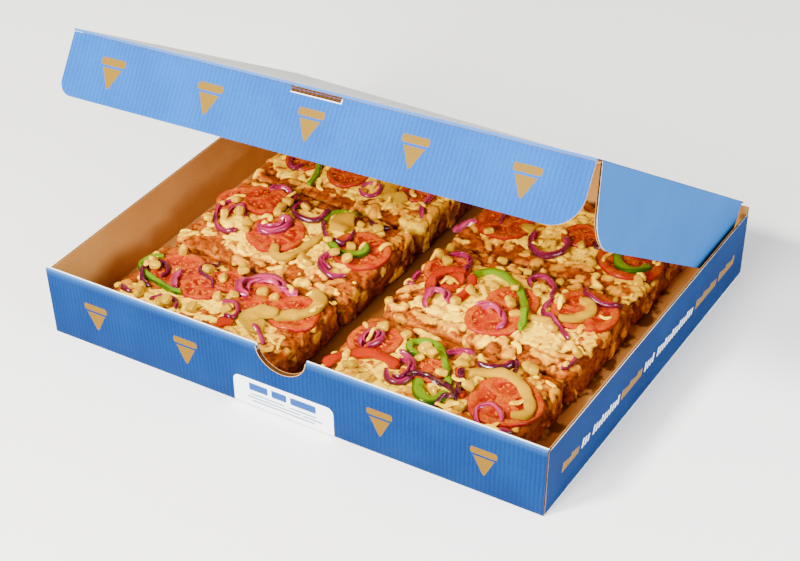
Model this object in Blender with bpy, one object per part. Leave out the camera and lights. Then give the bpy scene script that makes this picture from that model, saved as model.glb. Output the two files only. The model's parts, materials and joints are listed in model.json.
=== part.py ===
"""Pizza in its takeaway box.

A shallow tray of printed corrugated card, a lid creased to the tray's back
wall and standing part open, the lid's tuck flap, and six oblong slices of
deep-pan pizza in two columns with their vegetables on top.

Metres, +Z up.  The origin is on the table under the middle of the tray, the
front wall with the thumb notch faces -Y, and the lid is creased along +Y.
"""
import math

import bmesh
import bpy
import numpy as np
from mathutils import Vector
from mathutils.bvhtree import BVHTree

MM = 0.001
FIT_GAP = 0.3 * MM            # left between pieces that touch

# the card
BOARD = 1.8 * MM              # single corrugated board
TRAY_DEPTH = 316 * MM         # outside, front to back
TRAY_HALF_WIDTH = 201 * MM    # outside, at the table
WALL_LEAN = 2 * MM            # how far a side wall leans out at its top
FRONT_HEIGHT = 56 * MM
SIDE_HEIGHT = 53.5 * MM
BACK_HEIGHT = 60.3 * MM
FRONT_WALL = 3.8 * MM         # two boards, rolled over at the top
NOTCH_HALF_WIDTH = 20.5 * MM
NOTCH_DEPTH = 18.5 * MM

# the lid, open as it stands
LID_ANGLE = math.radians(33.1)
LID_LENGTH = 305.5 * MM
LID_HALF_WIDTH = 198 * MM
LID_WARP = 6.6 * MM           # front right corner up, front left corner down
RIGHT_FLAP_DROP = 54.5 * MM
LEFT_FLAP_DROP = 48 * MM
SIDE_FLAP_TOP_FRONT = 297 * MM      # where the flap's front edge leaves the crease
SIDE_FLAP_REAR = 4 * MM
SIDE_FLAP_RADIUS = 42 * MM
SIDE_FLAP_SLANT = math.radians(26.6)  # of the front edge, from square to the crease
TUCK_FLAP_LENGTH = 44.4 * MM
TUCK_FLAP_HALF_WIDTH = 197.5 * MM
TUCK_FLAP_TILT = math.radians(3.5)  # outward from square to the lid
TUCK_FLAP_LEFT_RADIUS = 10 * MM
TUCK_FLAP_RIGHT_RADIUS = 22 * MM
LOCK_TAB_HALF_WIDTH = 20 * MM
LOCK_TAB_DROP = 4.6 * MM
LOCK_TAB_STEP = 1.1 * MM

# the pizza
SLICE_BOTTOM = BOARD + FIT_GAP
SLICE_HEIGHT = 27 * MM
SLICE_COLUMNS = {"left": (-174, -17.5), "right": (9, 165)}           # millimetres
SLICE_ROWS = {"front": (-146, -54.5), "middle": (-53.5, 49), "back": (50, 150)}
SLICE_SIDES = 28
SLICE_RINGS = ((2.0, 0.0), (0.2, 0.16), (0.3, 0.55), (1.2, 0.80), (4.0, 0.93), (11.0, 0.985),
               (30.0, 1.0))                   # inset in millimetres, share of the height
SLICE_LUMP = 0.8 * MM
TOMATO_THICKNESS = 3.8 * MM
TOMATO_SIDES = 12

# name: x, y, radius in millimetres; later ones lie over earlier ones
TOMATOES = {
    "tomato_01": (-143, -85, 22), "tomato_02": (-113, -97, 15),
    "tomato_03": (-67, -86, 21), "tomato_04": (-37, -88, 20), "tomato_05": (-156, 16, 20),
    "tomato_06": (-139, 24, 20), "tomato_07": (-106, -11, 24), "tomato_08": (-39, 2, 23),
    "tomato_09": (29, -86, 20), "tomato_10": (142, -101, 26),
    "tomato_11": (31, 13, 18), "tomato_12": (92, 1, 20), "tomato_13": (89, -23, 21),
    "tomato_14": (140, 16, 25), "tomato_15": (-104, 86, 17), "tomato_16": (38, 87, 23),
    "tomato_17": (142, 90, 25),
}

# name: width, thickness, points of the middle line, all in millimetres
PEPPERS = {
    "yellow_pepper_1": (10, 4.5, ((-40, -60), (-29, -66), (-26, -79), (-35, -92), (-47, -101))),
    "yellow_pepper_2": (16, 5, ((-62, -102), (-59, -111), (-52, -116), (-45, -114))),
    "yellow_pepper_3": (18, 5, ((-73, 36), (-69, 26), (-66, 15))),
    "yellow_pepper_4": (7.5, 4, ((-73, 8), (-76, -8), (-77, -23), (-82, -35), (-90, -35), (-96, -25))),
    "yellow_pepper_5": (8, 4.5, ((105, -93), (110, -83), (122, -78), (136, -79), (149, -87), (159, -99),
                                 (160, -108), (152, -113))),
    "yellow_pepper_6": (8, 4.5, ((133, 26), (143, 22), (146, 12), (140, 3), (130, -3))),
    "yellow_pepper_7": (5.5, 4, ((98, -17), (108, -12), (119, -8), (127, -6))),
    "yellow_pepper_8": (12, 4.5, ((-66, 94), (-62, 82), (-57, 72))),
    "green_pepper_1": (4.5, 4, ((-160, -78), (-168, -82), (-171, -90), (-165, -98), (-150, -104),
                                (-135, -108), (-120, -111))),
    "green_pepper_2": (6, 4.5, ((-62, -3), (-54, -8), (-45, -10), (-36, -6), (-33, 2), (-38, 8))),
    "green_pepper_3": (5, 4.5, ((66, -86), (57, -84), (54, -76), (61, -70), (72, -71), (82, -80),
                                (92, -94), (102, -106))),
    "green_pepper_4": (8, 5, ((81, -112), (85, -121), (94, -126), (102, -122), (103, -114))),
    "green_pepper_5": (6, 4.5, ((53, 13), (54, 22), (62, 27), (74, 25), (88, 16), (98, 4), (106, -8),
                                (111, -20), (113, -28))),
    "red_pepper_1": (11, 5, ((14, -127), (22, -112), (34, -104), (48, -101), (59, -104))),
    "red_pepper_2": (8, 5, ((46, 13), (34, 9), (29, -2), (31, -14), (36, -22))),
    "red_pepper_3": (8, 5, ((52, 11), (57, 2), (58, -9), (55, -18))),
}
ONIONS = {
    "onion_01": (4, 4, ((-147, -99), (-148, -90), (-155, -84), (-161, -90), (-162, -100), (-155, -110),
                        (-147, -112))),
    "onion_02": (7.5, 4.5, ((-46, -70), (-55, -71), (-62, -64), (-73, -59), (-85, -66), (-90, -77),
                            (-85, -86), (-76, -88))),
    "onion_03": (6, 5, ((-120, -8), (-116, -15), (-107, -12), (-102, -2), (-105, 7), (-114, 7))),
    "onion_04": (5, 4, ((-143, 36), (-139, 42), (-131, 44), (-123, 41), (-119, 34), (-126, 30))),
    "onion_05": (5.5, 4.5, ((-104, 33), (-111, 34), (-113, 26), (-106, 18), (-96, 15), (-88, 19),
                            (-86, 29), (-89, 38))),
    "onion_06": (4, 4, ((-82, 20), (-75, 9), (-65, 2), (-53, 0), (-52, 9), (-55, 20))),
    "onion_07": (4.5, 4, ((-158, 9), (-162, -1), (-160, -12), (-152, -22), (-141, -25), (-134, -20))),
    "onion_08": (5.5, 4.5, ((-46, -14), (-54, -15), (-56, -23), (-50, -32), (-40, -36), (-30, -31))),
    "onion_09": (5, 4.5, ((25, -97), (21, -88), (25, -79), (32, -80), (34, -89), (30, -97))),
    "onion_10": (5, 4.5, ((52, -90), (62, -92), (70, -101), (73, -111), (69, -119), (61, -119),
                          (55, -112))),
    "onion_11": (5.5, 5, ((105, -73), (115, -72), (122, -68), (126, -60))),
    "onion_12": (4.5, 4.5, ((73, -114), (78, -107), (88, -106), (99, -108), (108, -112), (113, -118))),
    "onion_13": (6, 4.5, ((52, -25), (49, -17), (42, -14), (36, -19), (37, -29), (42, -36))),
    "onion_14": (5.5, 4, ((72, -18), (81, -13), (91, -17), (99, -27), (98, -35))),
    "onion_15": (4.5, 4, ((94, 24), (89, 31), (90, 38), (97, 41), (105, 36), (110, 28), (111, 20))),
    "onion_16": (4.5, 4, ((117, 16), (115, 6), (118, -2), (128, -6), (138, -13), (147, -19))),
    "onion_17": (4.5, 4, ((131, 38), (135, 31), (146, 27), (157, 30), (160, 37))),
    "onion_18": (6.5, 5, ((65, 86), (67, 74), (75, 65), (86, 63), (93, 72), (92, 83), (87, 88))),
}


def finish(name, colour, roughness):
    """A plain Principled material."""
    material = bpy.data.materials.new(name)
    material.use_nodes = True
    shader = material.node_tree.nodes["Principled BSDF"]
    shader.inputs["Base Color"].default_value = (*colour, 1)
    shader.inputs["Roughness"].default_value = roughness
    shader.inputs["Metallic"].default_value = 0
    return material


def add_object(name, form, material=None, parent=None):
    """Link a bmesh as one named object, faces turned outward."""
    bmesh.ops.recalc_face_normals(form, faces=form.faces)
    mesh = bpy.data.meshes.new(name)
    form.to_mesh(mesh)
    form.free()
    piece = bpy.data.objects.new(name, mesh)
    bpy.context.scene.collection.objects.link(piece)
    piece.parent = parent
    if material:
        mesh.materials.append(material)
    return piece


def prism(outline, place):
    """Closed prism: the outline at side -1 and +1, each point put in space by place(point, side)."""
    form = bmesh.new()
    ends = [[form.verts.new(place(point, side)) for point in outline] for side in (-1, 1)]
    form.faces.new(ends[0][::-1])
    form.faces.new(ends[1])
    for i in range(len(outline)):
        j = (i + 1) % len(outline)
        form.faces.new((ends[0][i], ends[0][j], ends[1][j], ends[1][i]))
    return form


def arc(centre, radii, start, stop, steps):
    """Points of an elliptic arc, angles in degrees."""
    angles = [math.radians(start + (stop - start) * i / steps) for i in range(steps + 1)]
    return [(centre[0] + radii[0] * math.cos(t), centre[1] + radii[1] * math.sin(t)) for t in angles]


def combine(piece, form, operation, parent=None):
    """Add or cut a guide solid with an exact Boolean."""
    guide = add_object(piece.name + "_" + operation.lower() + str(len(piece.modifiers)), form, parent=parent)
    guide.hide_render = True
    guide.display_type = 'WIRE'
    boolean = piece.modifiers.new(guide.name, 'BOOLEAN')
    boolean.operation = operation
    boolean.solver = 'EXACT'
    boolean.object = guide


def half_width_at(z):
    """Outside half width of the tray at a height, its side walls leaning out."""
    return TRAY_HALF_WIDTH + WALL_LEAN * z / SIDE_HEIGHT


def build_tray(material):
    """Floor, two single side walls, a single back wall and a double front wall with its notch."""
    front, back = -TRAY_DEPTH / 2, TRAY_DEPTH / 2
    floor = [(front, 0), (back, 0), (back, BOARD), (front, BOARD)]
    across = lambda point, side: (side * half_width_at(point[1]), point[0], point[1])
    tray = add_object("tray", prism(floor, across), material)

    back_wall = [(back - BOARD, 0), (back, 0), (back, BACK_HEIGHT), (back - BOARD, BACK_HEIGHT)]
    combine(tray, prism(back_wall, across), 'UNION')

    roll = FRONT_WALL / 2
    front_wall = [(front, 0), (front + FRONT_WALL, 0)]
    front_wall += arc((front + roll, FRONT_HEIGHT - roll), (roll, roll), 0, 180, 6)
    combine(tray, prism(front_wall, across), 'UNION')

    for hand in (-1, 1):
        wall = [(half_width_at(0), 0), (half_width_at(SIDE_HEIGHT), SIDE_HEIGHT),
                (half_width_at(SIDE_HEIGHT) - BOARD, SIDE_HEIGHT), (half_width_at(0) - BOARD, 0)]
        along = lambda point, side, hand=hand: (
            hand * point[0], back if side > 0 else front + roll, point[1])
        combine(tray, prism(wall, along), 'UNION')

    notch = arc((0, FRONT_HEIGHT), (NOTCH_HALF_WIDTH, NOTCH_DEPTH), 180, 360, 16)
    notch += [(NOTCH_HALF_WIDTH, FRONT_HEIGHT + BOARD), (-NOTCH_HALF_WIDTH, FRONT_HEIGHT + BOARD)]
    through = lambda point, side: (point[0], front + roll + side * FRONT_WALL, point[1])
    combine(tray, prism(notch, through), 'DIFFERENCE')
    return tray


def warp(x, along):
    """How far the lid's card is bent up at a place on it."""
    return LID_WARP * (along / LID_LENGTH) * (x / LID_HALF_WIDTH)


def build_lid(material):
    """Top panel and both side flaps, in the lid's own frame: the hinge line on X, the panel along -Y."""
    hinge = bpy.data.objects.new("lid_hinge", None)
    bpy.context.scene.collection.objects.link(hinge)
    hinge.location = (0, TRAY_DEPTH / 2, BACK_HEIGHT)
    hinge.rotation_euler = (-LID_ANGLE, 0, 0)

    columns, rows = 8, 6
    form = bmesh.new()
    sheets = []
    for level in (FIT_GAP, FIT_GAP + BOARD):
        sheet = []
        for j in range(rows + 1):
            along = FIT_GAP + (LID_LENGTH - FIT_GAP) * j / rows
            sheet.append([form.verts.new((x, -along, level + warp(x, along)))
                          for x in np.linspace(-LID_HALF_WIDTH, LID_HALF_WIDTH, columns + 1)])
        sheets.append(sheet)
    lower, upper = sheets
    for j in range(rows):
        for i in range(columns):
            for sheet in sheets:
                form.faces.new((sheet[j][i], sheet[j][i + 1], sheet[j + 1][i + 1], sheet[j + 1][i]))
    rim = [(0, i) for i in range(columns)] + [(j, columns) for j in range(rows)]
    rim += [(rows, i) for i in range(columns, 0, -1)] + [(j, 0) for j in range(rows, 0, -1)]
    for here, there in zip(rim, rim[1:] + rim[:1]):
        form.faces.new((lower[here[0]][here[1]], lower[there[0]][there[1]],
                        upper[there[0]][there[1]], upper[here[0]][here[1]]))
    lid = add_object("lid", form, material, hinge)

    crease = FIT_GAP + BOARD / 2
    radius, slant = SIDE_FLAP_RADIUS, SIDE_FLAP_SLANT
    for hand, drop in ((-1, LEFT_FLAP_DROP), (1, RIGHT_FLAP_DROP)):
        bottom = FIT_GAP + BOARD - drop
        straight = crease - bottom - radius * (1 - math.sin(slant))
        corner = (SIDE_FLAP_TOP_FRONT - straight * math.tan(slant) - radius * math.cos(slant), bottom + radius)
        outline = [(SIDE_FLAP_REAR, crease), (SIDE_FLAP_REAR + BOARD, bottom + 8 * BOARD / 3),
                   (SIDE_FLAP_REAR + 8 * BOARD / 3, bottom)]
        outline += arc(corner, (radius, radius), 270, 360 - math.degrees(slant), 7)
        outline.append((SIDE_FLAP_TOP_FRONT, crease))
        flap = lambda point, side, hand=hand: (
            hand * (LID_HALF_WIDTH - BOARD * (1 - side) / 2), -point[0],
            point[1] + warp(hand * LID_HALF_WIDTH, point[0]))
        combine(lid, prism(outline, flap), 'UNION', hinge)
    return lid, hinge


def build_tuck_flap(material, hinge):
    """Front flap, hanging from its crease along the lid's front edge, with the lock tab."""
    crease = bpy.data.objects.new("tuck_crease", None)
    bpy.context.scene.collection.objects.link(crease)
    crease.parent = hinge
    crease.location = (0, -LID_LENGTH, FIT_GAP / 2)
    crease.rotation_euler = (-TUCK_FLAP_TILT, -math.atan2(LID_WARP, LID_HALF_WIDTH), 0)

    edge, end = TUCK_FLAP_HALF_WIDTH, -TUCK_FLAP_LENGTH
    left, right = TUCK_FLAP_LEFT_RADIUS, TUCK_FLAP_RIGHT_RADIUS
    outline = [(edge, -FIT_GAP / 2), (-edge, -FIT_GAP / 2)]
    outline += arc((-edge + left, end + left), (left, left), 180, 270, 5)
    outline += arc((edge - right, end + right), (right, right), 270, 360, 7)
    board = lambda point, side: (point[0], BOARD * (1 + side) / 2, point[1])
    flap = add_object("tuck_flap", prism(outline, board), material, crease)

    tab = [(LOCK_TAB_HALF_WIDTH, -FIT_GAP), (-LOCK_TAB_HALF_WIDTH, -FIT_GAP),
           (-LOCK_TAB_HALF_WIDTH, -LOCK_TAB_DROP), (LOCK_TAB_HALF_WIDTH, -LOCK_TAB_DROP)]
    raised = lambda point, side: (point[0], -LOCK_TAB_STEP if side < 0 else BOARD / 2, point[1])
    combine(flap, prism(tab, raised), 'UNION', crease)
    return flap


class Relief:
    """Height of what lies in the tray, on a one millimetre grid, so that toppings can be laid on it."""

    def __init__(self):
        self.x0, self.y0 = -200, -160
        self.height = np.full((320, 400), BOARD)

    def add(self, form):
        """Raise the grid to the top of a closed form."""
        tree = BVHTree.FromBMesh(form)
        xs = [vert.co.x / MM for vert in form.verts]
        ys = [vert.co.y / MM for vert in form.verts]
        for iy in range(int(min(ys)) - self.y0, int(max(ys)) - self.y0 + 2):
            for ix in range(int(min(xs)) - self.x0, int(max(xs)) - self.x0 + 2):
                start = Vector(((ix + self.x0) * MM, (iy + self.y0) * MM, 0.1))
                hit = tree.ray_cast(start, Vector((0, 0, -1)))[0]
                if hit is not None:
                    self.height[iy, ix] = max(self.height[iy, ix], hit.z)

    def top(self, x, y, reach):
        """Highest point within reach of a place, all in metres."""
        ix, iy = x / MM - self.x0, y / MM - self.y0
        span = reach / MM
        rows = np.arange(max(0, int(iy - span)), min(319, int(iy + span) + 1) + 1)
        columns = np.arange(max(0, int(ix - span)), min(399, int(ix + span) + 1) + 1)
        near = (rows[:, None] - iy) ** 2 + (columns[None, :] - ix) ** 2 <= (span + 0.8) ** 2
        return self.height[np.ix_(rows, columns)][near].max()


def loft(rings, caps=True):
    """Closed form through rings of equal count, ends filled."""
    form = bmesh.new()
    loops = [[form.verts.new(point) for point in ring] for ring in rings]
    for one, two in zip(loops, loops[1:]):
        for i in range(len(one)):
            j = (i + 1) % len(one)
            form.faces.new((one[i], one[j], two[j], two[i]))
    form.faces.new(loops[0][::-1])
    if caps:
        form.faces.new(loops[-1])
    return form, loops


def build_slice(name, column, row, material, relief, phase):
    """Oblong slice: uneven baked sides, rounded shoulders and a gently lumpy top."""
    (x0, x1), (y0, y1) = column, row
    centre, half = ((x0 + x1) / 2, (y0 + y1) / 2), ((x1 - x0) / 2, (y1 - y0) / 2)
    rings = []
    for inset, share in SLICE_RINGS:
        ring = []
        for k in range(SLICE_SIDES):
            t = 2 * math.pi * (k + 0.5) / SLICE_SIDES
            cos, sin = math.cos(t), math.sin(t)
            wobble = 1 - 0.006 * (1 + math.sin(3 * t + phase)) - 0.004 * (1 + math.sin(7 * t + 2 * phase))
            x = centre[0] + (half[0] - inset) * math.copysign(abs(cos) ** 0.2, cos) * wobble
            y = centre[1] + (half[1] - inset) * math.copysign(abs(sin) ** 0.2, sin) * wobble
            lump = SLICE_LUMP * math.sin(x / 11 + phase) * math.sin(y / 9 - phase) * (share > 0.9)
            ring.append((x * MM, y * MM, SLICE_BOTTOM + SLICE_HEIGHT * share + lump))
        rings.append(ring)
    form, loops = loft(rings, caps=False)
    middle = form.verts.new((centre[0] * MM, centre[1] * MM, SLICE_BOTTOM + SLICE_HEIGHT))
    for i in range(SLICE_SIDES):
        form.faces.new((loops[-1][i], loops[-1][(i + 1) % SLICE_SIDES], middle))
    bmesh.ops.recalc_face_normals(form, faces=form.faces)
    bmesh.ops.triangulate(form, faces=form.faces)
    relief.add(form)
    return add_object(name, form, material)


def build_tomato(name, place, material, relief, phase):
    """Round slice of tomato, limp, lying along whatever is under it."""
    x, y, radius = (value * MM for value in place)
    reach = 0.42 * radius
    rest = relief.top(x, y, 0.6 * radius)

    def ring(share, lift):
        points = []
        for k in range(TOMATO_SIDES):
            t = 2 * math.pi * k / TOMATO_SIDES
            r = radius * share * (1 + 0.035 * math.sin(3 * t + phase))
            px, py = x + r * math.cos(t), y + r * math.sin(t)
            under = max(relief.top(px, py, reach), rest - 5 * MM)
            points.append((px, py, under + 1.5 * FIT_GAP + lift * TOMATO_THICKNESS))
        return points

    form, loops = loft([ring(0.9, 0), ring(1, 0.5), ring(0.9, 1), ring(0.5, 1.05)], caps=False)
    bmesh.ops.delete(form, geom=[face for face in form.faces if len(face.verts) > 4], context='FACES_ONLY')
    under = relief.top(x, y, 0.75 * radius)
    for loop, level in ((loops[0], 0), (loops[-1], 1.05 * TOMATO_THICKNESS)):
        middle = form.verts.new((x, y, under + 1.5 * FIT_GAP + level))
        for i in range(TOMATO_SIDES):
            form.faces.new((loop[i], loop[(i + 1) % TOMATO_SIDES], middle))
    bmesh.ops.recalc_face_normals(form, faces=form.faces)
    bmesh.ops.triangulate(form, faces=form.faces)
    relief.add(form)
    return add_object(name, form, material)


def smooth_route(points, step):
    """Points at an even step along a smooth curve through the given ones."""
    knots = [Vector((*point, 0)) * MM for point in points]
    knots = [2 * knots[0] - knots[1], *knots, 2 * knots[-1] - knots[-2]]
    fine = []
    for a, b, c, d in zip(knots, knots[1:], knots[2:], knots[3:]):
        for k in range(12):
            t = k / 12
            fine.append(0.5 * (2 * b + (c - a) * t + (2 * a - 5 * b + 4 * c - d) * t * t
                               + (3 * b - a - 3 * c + d) * t ** 3))
    fine.append(knots[-2])
    lengths = np.cumsum([0] + [(q - p).length for p, q in zip(fine, fine[1:])])
    count = max(4, round(lengths[-1] / step) + 1)
    even = np.linspace(0, lengths[-1], count)
    return [(np.interp(s, lengths, [p.x for p in fine]), np.interp(s, lengths, [p.y for p in fine]))
            for s in even]


def build_strip(name, shape, material, relief):
    """Curved strip of pepper or onion, lying along whatever is under it."""
    width, thickness = shape[0] * MM, shape[1] * MM
    route = smooth_route(shape[2], max(4.6 * MM, 0.55 * width))
    step = math.dist(route[0], route[1])
    base = [relief.top(x, y, 0.5 * width + 0.45 * step) for x, y in route]
    for _ in range(2):
        lifted = [(before + after) / 2 for before, after in zip(base, base[2:])]
        base[1:-1] = [max(level, bridge) for level, bridge in zip(base[1:-1], lifted)]
    rings = []
    for i, (x, y) in enumerate(route):
        before, after = route[max(i - 1, 0)], route[min(i + 1, len(route) - 1)]
        along = Vector((after[0] - before[0], after[1] - before[1], 0)).normalized()
        across = Vector((-along.y, along.x, 0))
        full = 0.6 if i in (0, len(route) - 1) else 1
        ring = []
        for side, up in ((-0.5, 0.4), (-0.28, 0), (0.28, 0), (0.5, 0.4), (0.28, 1), (-0.28, 1)):
            point = Vector((x, y, base[i] + 1.6 * FIT_GAP + up * thickness * (0.4 + 0.6 * full)))
            ring.append(point + across * side * width * full)
        rings.append(ring)
    form, _ = loft(rings)
    bmesh.ops.recalc_face_normals(form, faces=form.faces)
    bmesh.ops.triangulate(form, faces=form.faces)
    relief.add(form)
    return add_object(name, form, material)


def build_pizza():
    """Six slices, then the vegetables in the order they were scattered."""
    crumb = finish("baked_crust", (0.55, 0.22, 0.06), 0.6)
    flesh = {"tomato": finish("tomato", (0.75, 0.1, 0.03), 0.3),
             "yellow": finish("yellow_pepper", (0.9, 0.55, 0.02), 0.3),
             "green": finish("green_pepper", (0.25, 0.45, 0.04), 0.3),
             "red": finish("red_pepper", (0.7, 0.06, 0.02), 0.3),
             "onion": finish("red_onion", (0.4, 0.03, 0.12), 0.35)}
    relief = Relief()
    phase = 0
    for row_name, row in SLICE_ROWS.items():
        for column_name, column in SLICE_COLUMNS.items():
            phase += 1.3
            build_slice("slice_" + row_name + "_" + column_name, column, row, crumb, relief, phase)
    for name, place in TOMATOES.items():
        phase += 0.9
        build_tomato(name, place, flesh["tomato"], relief, phase)
    for name, shape in {**PEPPERS, **ONIONS}.items():
        build_strip(name, shape, flesh[name.split("_")[0]], relief)


for leftover in list(bpy.data.objects):
    bpy.data.objects.remove(leftover)

build_tray(finish("tray_card", (0.06, 0.2, 0.5), 0.7))
lid_card = finish("lid_card", (0.15, 0.35, 0.65), 0.7)
_, lid_hinge = build_lid(lid_card)
build_tuck_flap(lid_card, lid_hinge)
build_pizza()
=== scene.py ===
"""Deep-pan vegetable pizza in a printed takeaway box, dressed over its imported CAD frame.

The sections follow the object as it is put together: the folded tray, the print
on it, the lid and its tuck flap, then the baked slices and what lies on them.
"""

import json
import math

import bmesh
import bpy
import numpy as np
from mathutils import Matrix, Vector


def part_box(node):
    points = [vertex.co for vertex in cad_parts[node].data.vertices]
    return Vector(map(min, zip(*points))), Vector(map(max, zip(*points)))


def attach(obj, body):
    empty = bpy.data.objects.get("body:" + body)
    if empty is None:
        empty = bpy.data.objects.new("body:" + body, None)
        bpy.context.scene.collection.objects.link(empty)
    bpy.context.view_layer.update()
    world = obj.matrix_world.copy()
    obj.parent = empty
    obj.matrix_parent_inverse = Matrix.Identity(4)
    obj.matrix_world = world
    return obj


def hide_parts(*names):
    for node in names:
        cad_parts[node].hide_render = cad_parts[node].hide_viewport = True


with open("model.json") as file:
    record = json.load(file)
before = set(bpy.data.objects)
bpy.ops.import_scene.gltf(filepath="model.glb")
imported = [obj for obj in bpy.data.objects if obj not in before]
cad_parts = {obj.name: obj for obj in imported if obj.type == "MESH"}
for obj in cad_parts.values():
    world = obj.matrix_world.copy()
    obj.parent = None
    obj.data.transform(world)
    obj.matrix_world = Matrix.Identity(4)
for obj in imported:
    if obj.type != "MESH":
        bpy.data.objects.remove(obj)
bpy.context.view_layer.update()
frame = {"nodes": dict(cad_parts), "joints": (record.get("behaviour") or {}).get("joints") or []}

MM = 0.001

# ---- Table, light and camera -------------------------------------------------
# A pale matt table top in a white studio.  A soft lamp stands high in front of the
# box, one of like strength lower down reaches in under the lid, and a third stands
# on the right of it.


def add_piece(name, points, faces, materials, body=None, face_materials=None, marks=None):
    """One mesh object from points and faces, with its materials and per-point marks, riding on a body."""
    mesh = bpy.data.meshes.new(name)
    mesh.from_pydata([tuple(point) for point in points], [], [tuple(face) for face in faces])
    for material in materials if isinstance(materials, (list, tuple)) else [materials]:
        mesh.materials.append(material)
    if face_materials is not None:
        mesh.polygons.foreach_set("material_index", np.asarray(face_materials, np.int32))
    mesh.polygons.foreach_set("use_smooth", np.full(len(mesh.polygons), True))
    for mark, values in (marks or {}).items():
        layer = mesh.attributes.new(mark, 'FLOAT', 'POINT')
        layer.data.foreach_set("value", np.asarray(values, np.float32).ravel())
    mesh.validate()
    mesh.update()
    piece = bpy.data.objects.new(name, mesh)
    bpy.context.scene.collection.objects.link(piece)
    if body:
        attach(piece, body)
    return piece


class Nodes:
    """Short calls that add shader nodes to a tree and join them."""

    def __init__(self, tree):
        self.tree = tree

    def add(self, kind, inputs=None, **settings):
        node = self.tree.nodes.new(kind)
        for key, value in settings.items():
            setattr(node, key, value)
        for key, value in (inputs or {}).items():
            if isinstance(value, bpy.types.NodeSocket):
                self.tree.links.new(value, node.inputs[key])
            else:
                node.inputs[key].default_value = value
        return node

    def place(self):
        """Object coordinates in metres."""
        return self.add('ShaderNodeTexCoord').outputs["Object"]

    def noise(self, size, detail=3, rough=0.55, place=None):
        """Noise with lumps about one size across, in metres."""
        place = self.place() if place is None else place
        return self.add('ShaderNodeTexNoise', {"Vector": place, "Scale": 1 / size, "Detail": detail,
                                               "Roughness": rough}).outputs["Fac"]

    def span(self, value, low, high, to_low=0.0, to_high=1.0):
        """A value stretched from one range to another, smoothly, and held inside it."""
        ends = {"From Min": low, "From Max": high, "To Min": to_low, "To Max": to_high}
        return self.add('ShaderNodeMapRange', {"Value": value, **ends},
                        interpolation_type='SMOOTHSTEP').outputs["Result"]

    def mix(self, share, one, two):
        """Two colours mixed by a share."""
        one, two = (value if isinstance(value, bpy.types.NodeSocket) else (*value, 1) for value in (one, two))
        return self.add('ShaderNodeMix', {0: share, 6: one, 7: two}, data_type='RGBA').outputs[2]

    def fade(self, value, low, high, one, two, most=1.0):
        """One colour giving way to another as a value rises from low to high."""
        return self.mix(self.span(value, low, high, 0, most), one, two)

    def math(self, operation, one, two=0.0):
        """Arithmetic on two values."""
        return self.add('ShaderNodeMath', {0: one, 1: two}, operation=operation).outputs[0]

    def plus(self, one, two, share):
        """One value plus a share of another."""
        return self.math('ADD', one, self.math('MULTIPLY', two, share))

    def mark(self, name):
        """A value kept on the mesh's points."""
        return self.add('ShaderNodeAttribute', attribute_name=name).outputs["Fac"]


class Finish(Nodes):
    """A node material around its Principled shader, whose plain sockets are given by name."""

    def __init__(self, name, **plain):
        self.material = bpy.data.materials.new(name)
        self.material.use_nodes = True
        super().__init__(self.material.node_tree)
        self.shader = self.tree.nodes["Principled BSDF"]
        for socket, value in plain.items():
            value = (*value, 1) if "Tint" in socket else value
            self.shader.inputs[socket.replace("_", " ")].default_value = value

    def feed(self, socket, value):
        self.tree.links.new(value, self.shader.inputs[socket])

    def bump(self, height, depth, strength):
        """Relief from a height between 0 and 1, with its depth in metres."""
        node = self.add('ShaderNodeBump', {"Height": height, "Distance": depth, "Strength": strength})
        self.feed("Normal", node.outputs["Normal"])


TABLE_REACH = 3.0           # out from the middle, in metres
TABLE_COLOURS = (0.93, 0.93, 0.92), (0.91, 0.91, 0.90)
TABLE_CLOUD = 0.4

table_top = Finish("table_white", Roughness=0.6)
table_top.feed("Base Color", table_top.mix(table_top.noise(TABLE_CLOUD), *TABLE_COLOURS))
corners = [(x * TABLE_REACH, y * TABLE_REACH, 0) for x, y in ((-1, -1), (1, -1), (1, 1), (-1, 1))]
table = add_piece("table", corners, [(0, 1, 2, 3)], table_top.material)

ROOM_LIGHT = {"Color": (1.0, 0.99, 0.97, 1), "Strength": 0.50}

world = bpy.data.worlds.new("studio")
bpy.context.scene.world = world
world.use_nodes = True
for socket, value in ROOM_LIGHT.items():
    world.node_tree.nodes["Background"].inputs[socket].default_value = value

LAMPS = {   # place, where it points, size, power, colour
    "key": ((-0.80, -1.66, 1.83), (0, 0, 0.05), 0.55, 180, (1.0, 0.97, 0.92)),
    "fill": ((-0.10, -2.1, 1.08), (0, 0, 0.05), 0.9, 150, (1.0, 0.98, 0.94)),
    "right": ((1.7, -0.2, 0.7), (0.1, 0, 0.1), 1.0, 56, (0.97, 0.98, 1.0)),
}
for name, (place, aim, size, power, colour) in LAMPS.items():
    lamp = bpy.data.lights.new(name, 'AREA')
    lamp.shape = 'DISK'
    lamp.size = size
    lamp.energy = power
    lamp.color = colour
    stand = bpy.data.objects.new(name, lamp)
    bpy.context.scene.collection.objects.link(stand)
    stand.location = place
    stand.rotation_euler = (Vector(aim) - Vector(place)).to_track_quat('-Z', 'Y').to_euler()

CAMERA_PLACE = Vector((0.6284, -1.0013, 0.8504))
CAMERA_AIM = Vector((0.0062, -0.0142, 0.0300))
CAMERA_ROLL = math.radians(-1.42)
CAMERA_LENS = 88.22         # millimetres
CAMERA_SIGHT = 20           # how far it sees, in metres

eye = bpy.data.cameras.new("camera")
eye.lens = CAMERA_LENS
eye.clip_end = CAMERA_SIGHT
camera = bpy.data.objects.new("camera", eye)
bpy.context.scene.collection.objects.link(camera)
camera.location = CAMERA_PLACE
turn = (CAMERA_AIM - CAMERA_PLACE).to_track_quat('-Z', 'Y').to_matrix()
camera.rotation_euler = (turn @ Matrix.Rotation(CAMERA_ROLL, 3, 'Z')).to_euler()
bpy.context.scene.camera = camera

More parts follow.
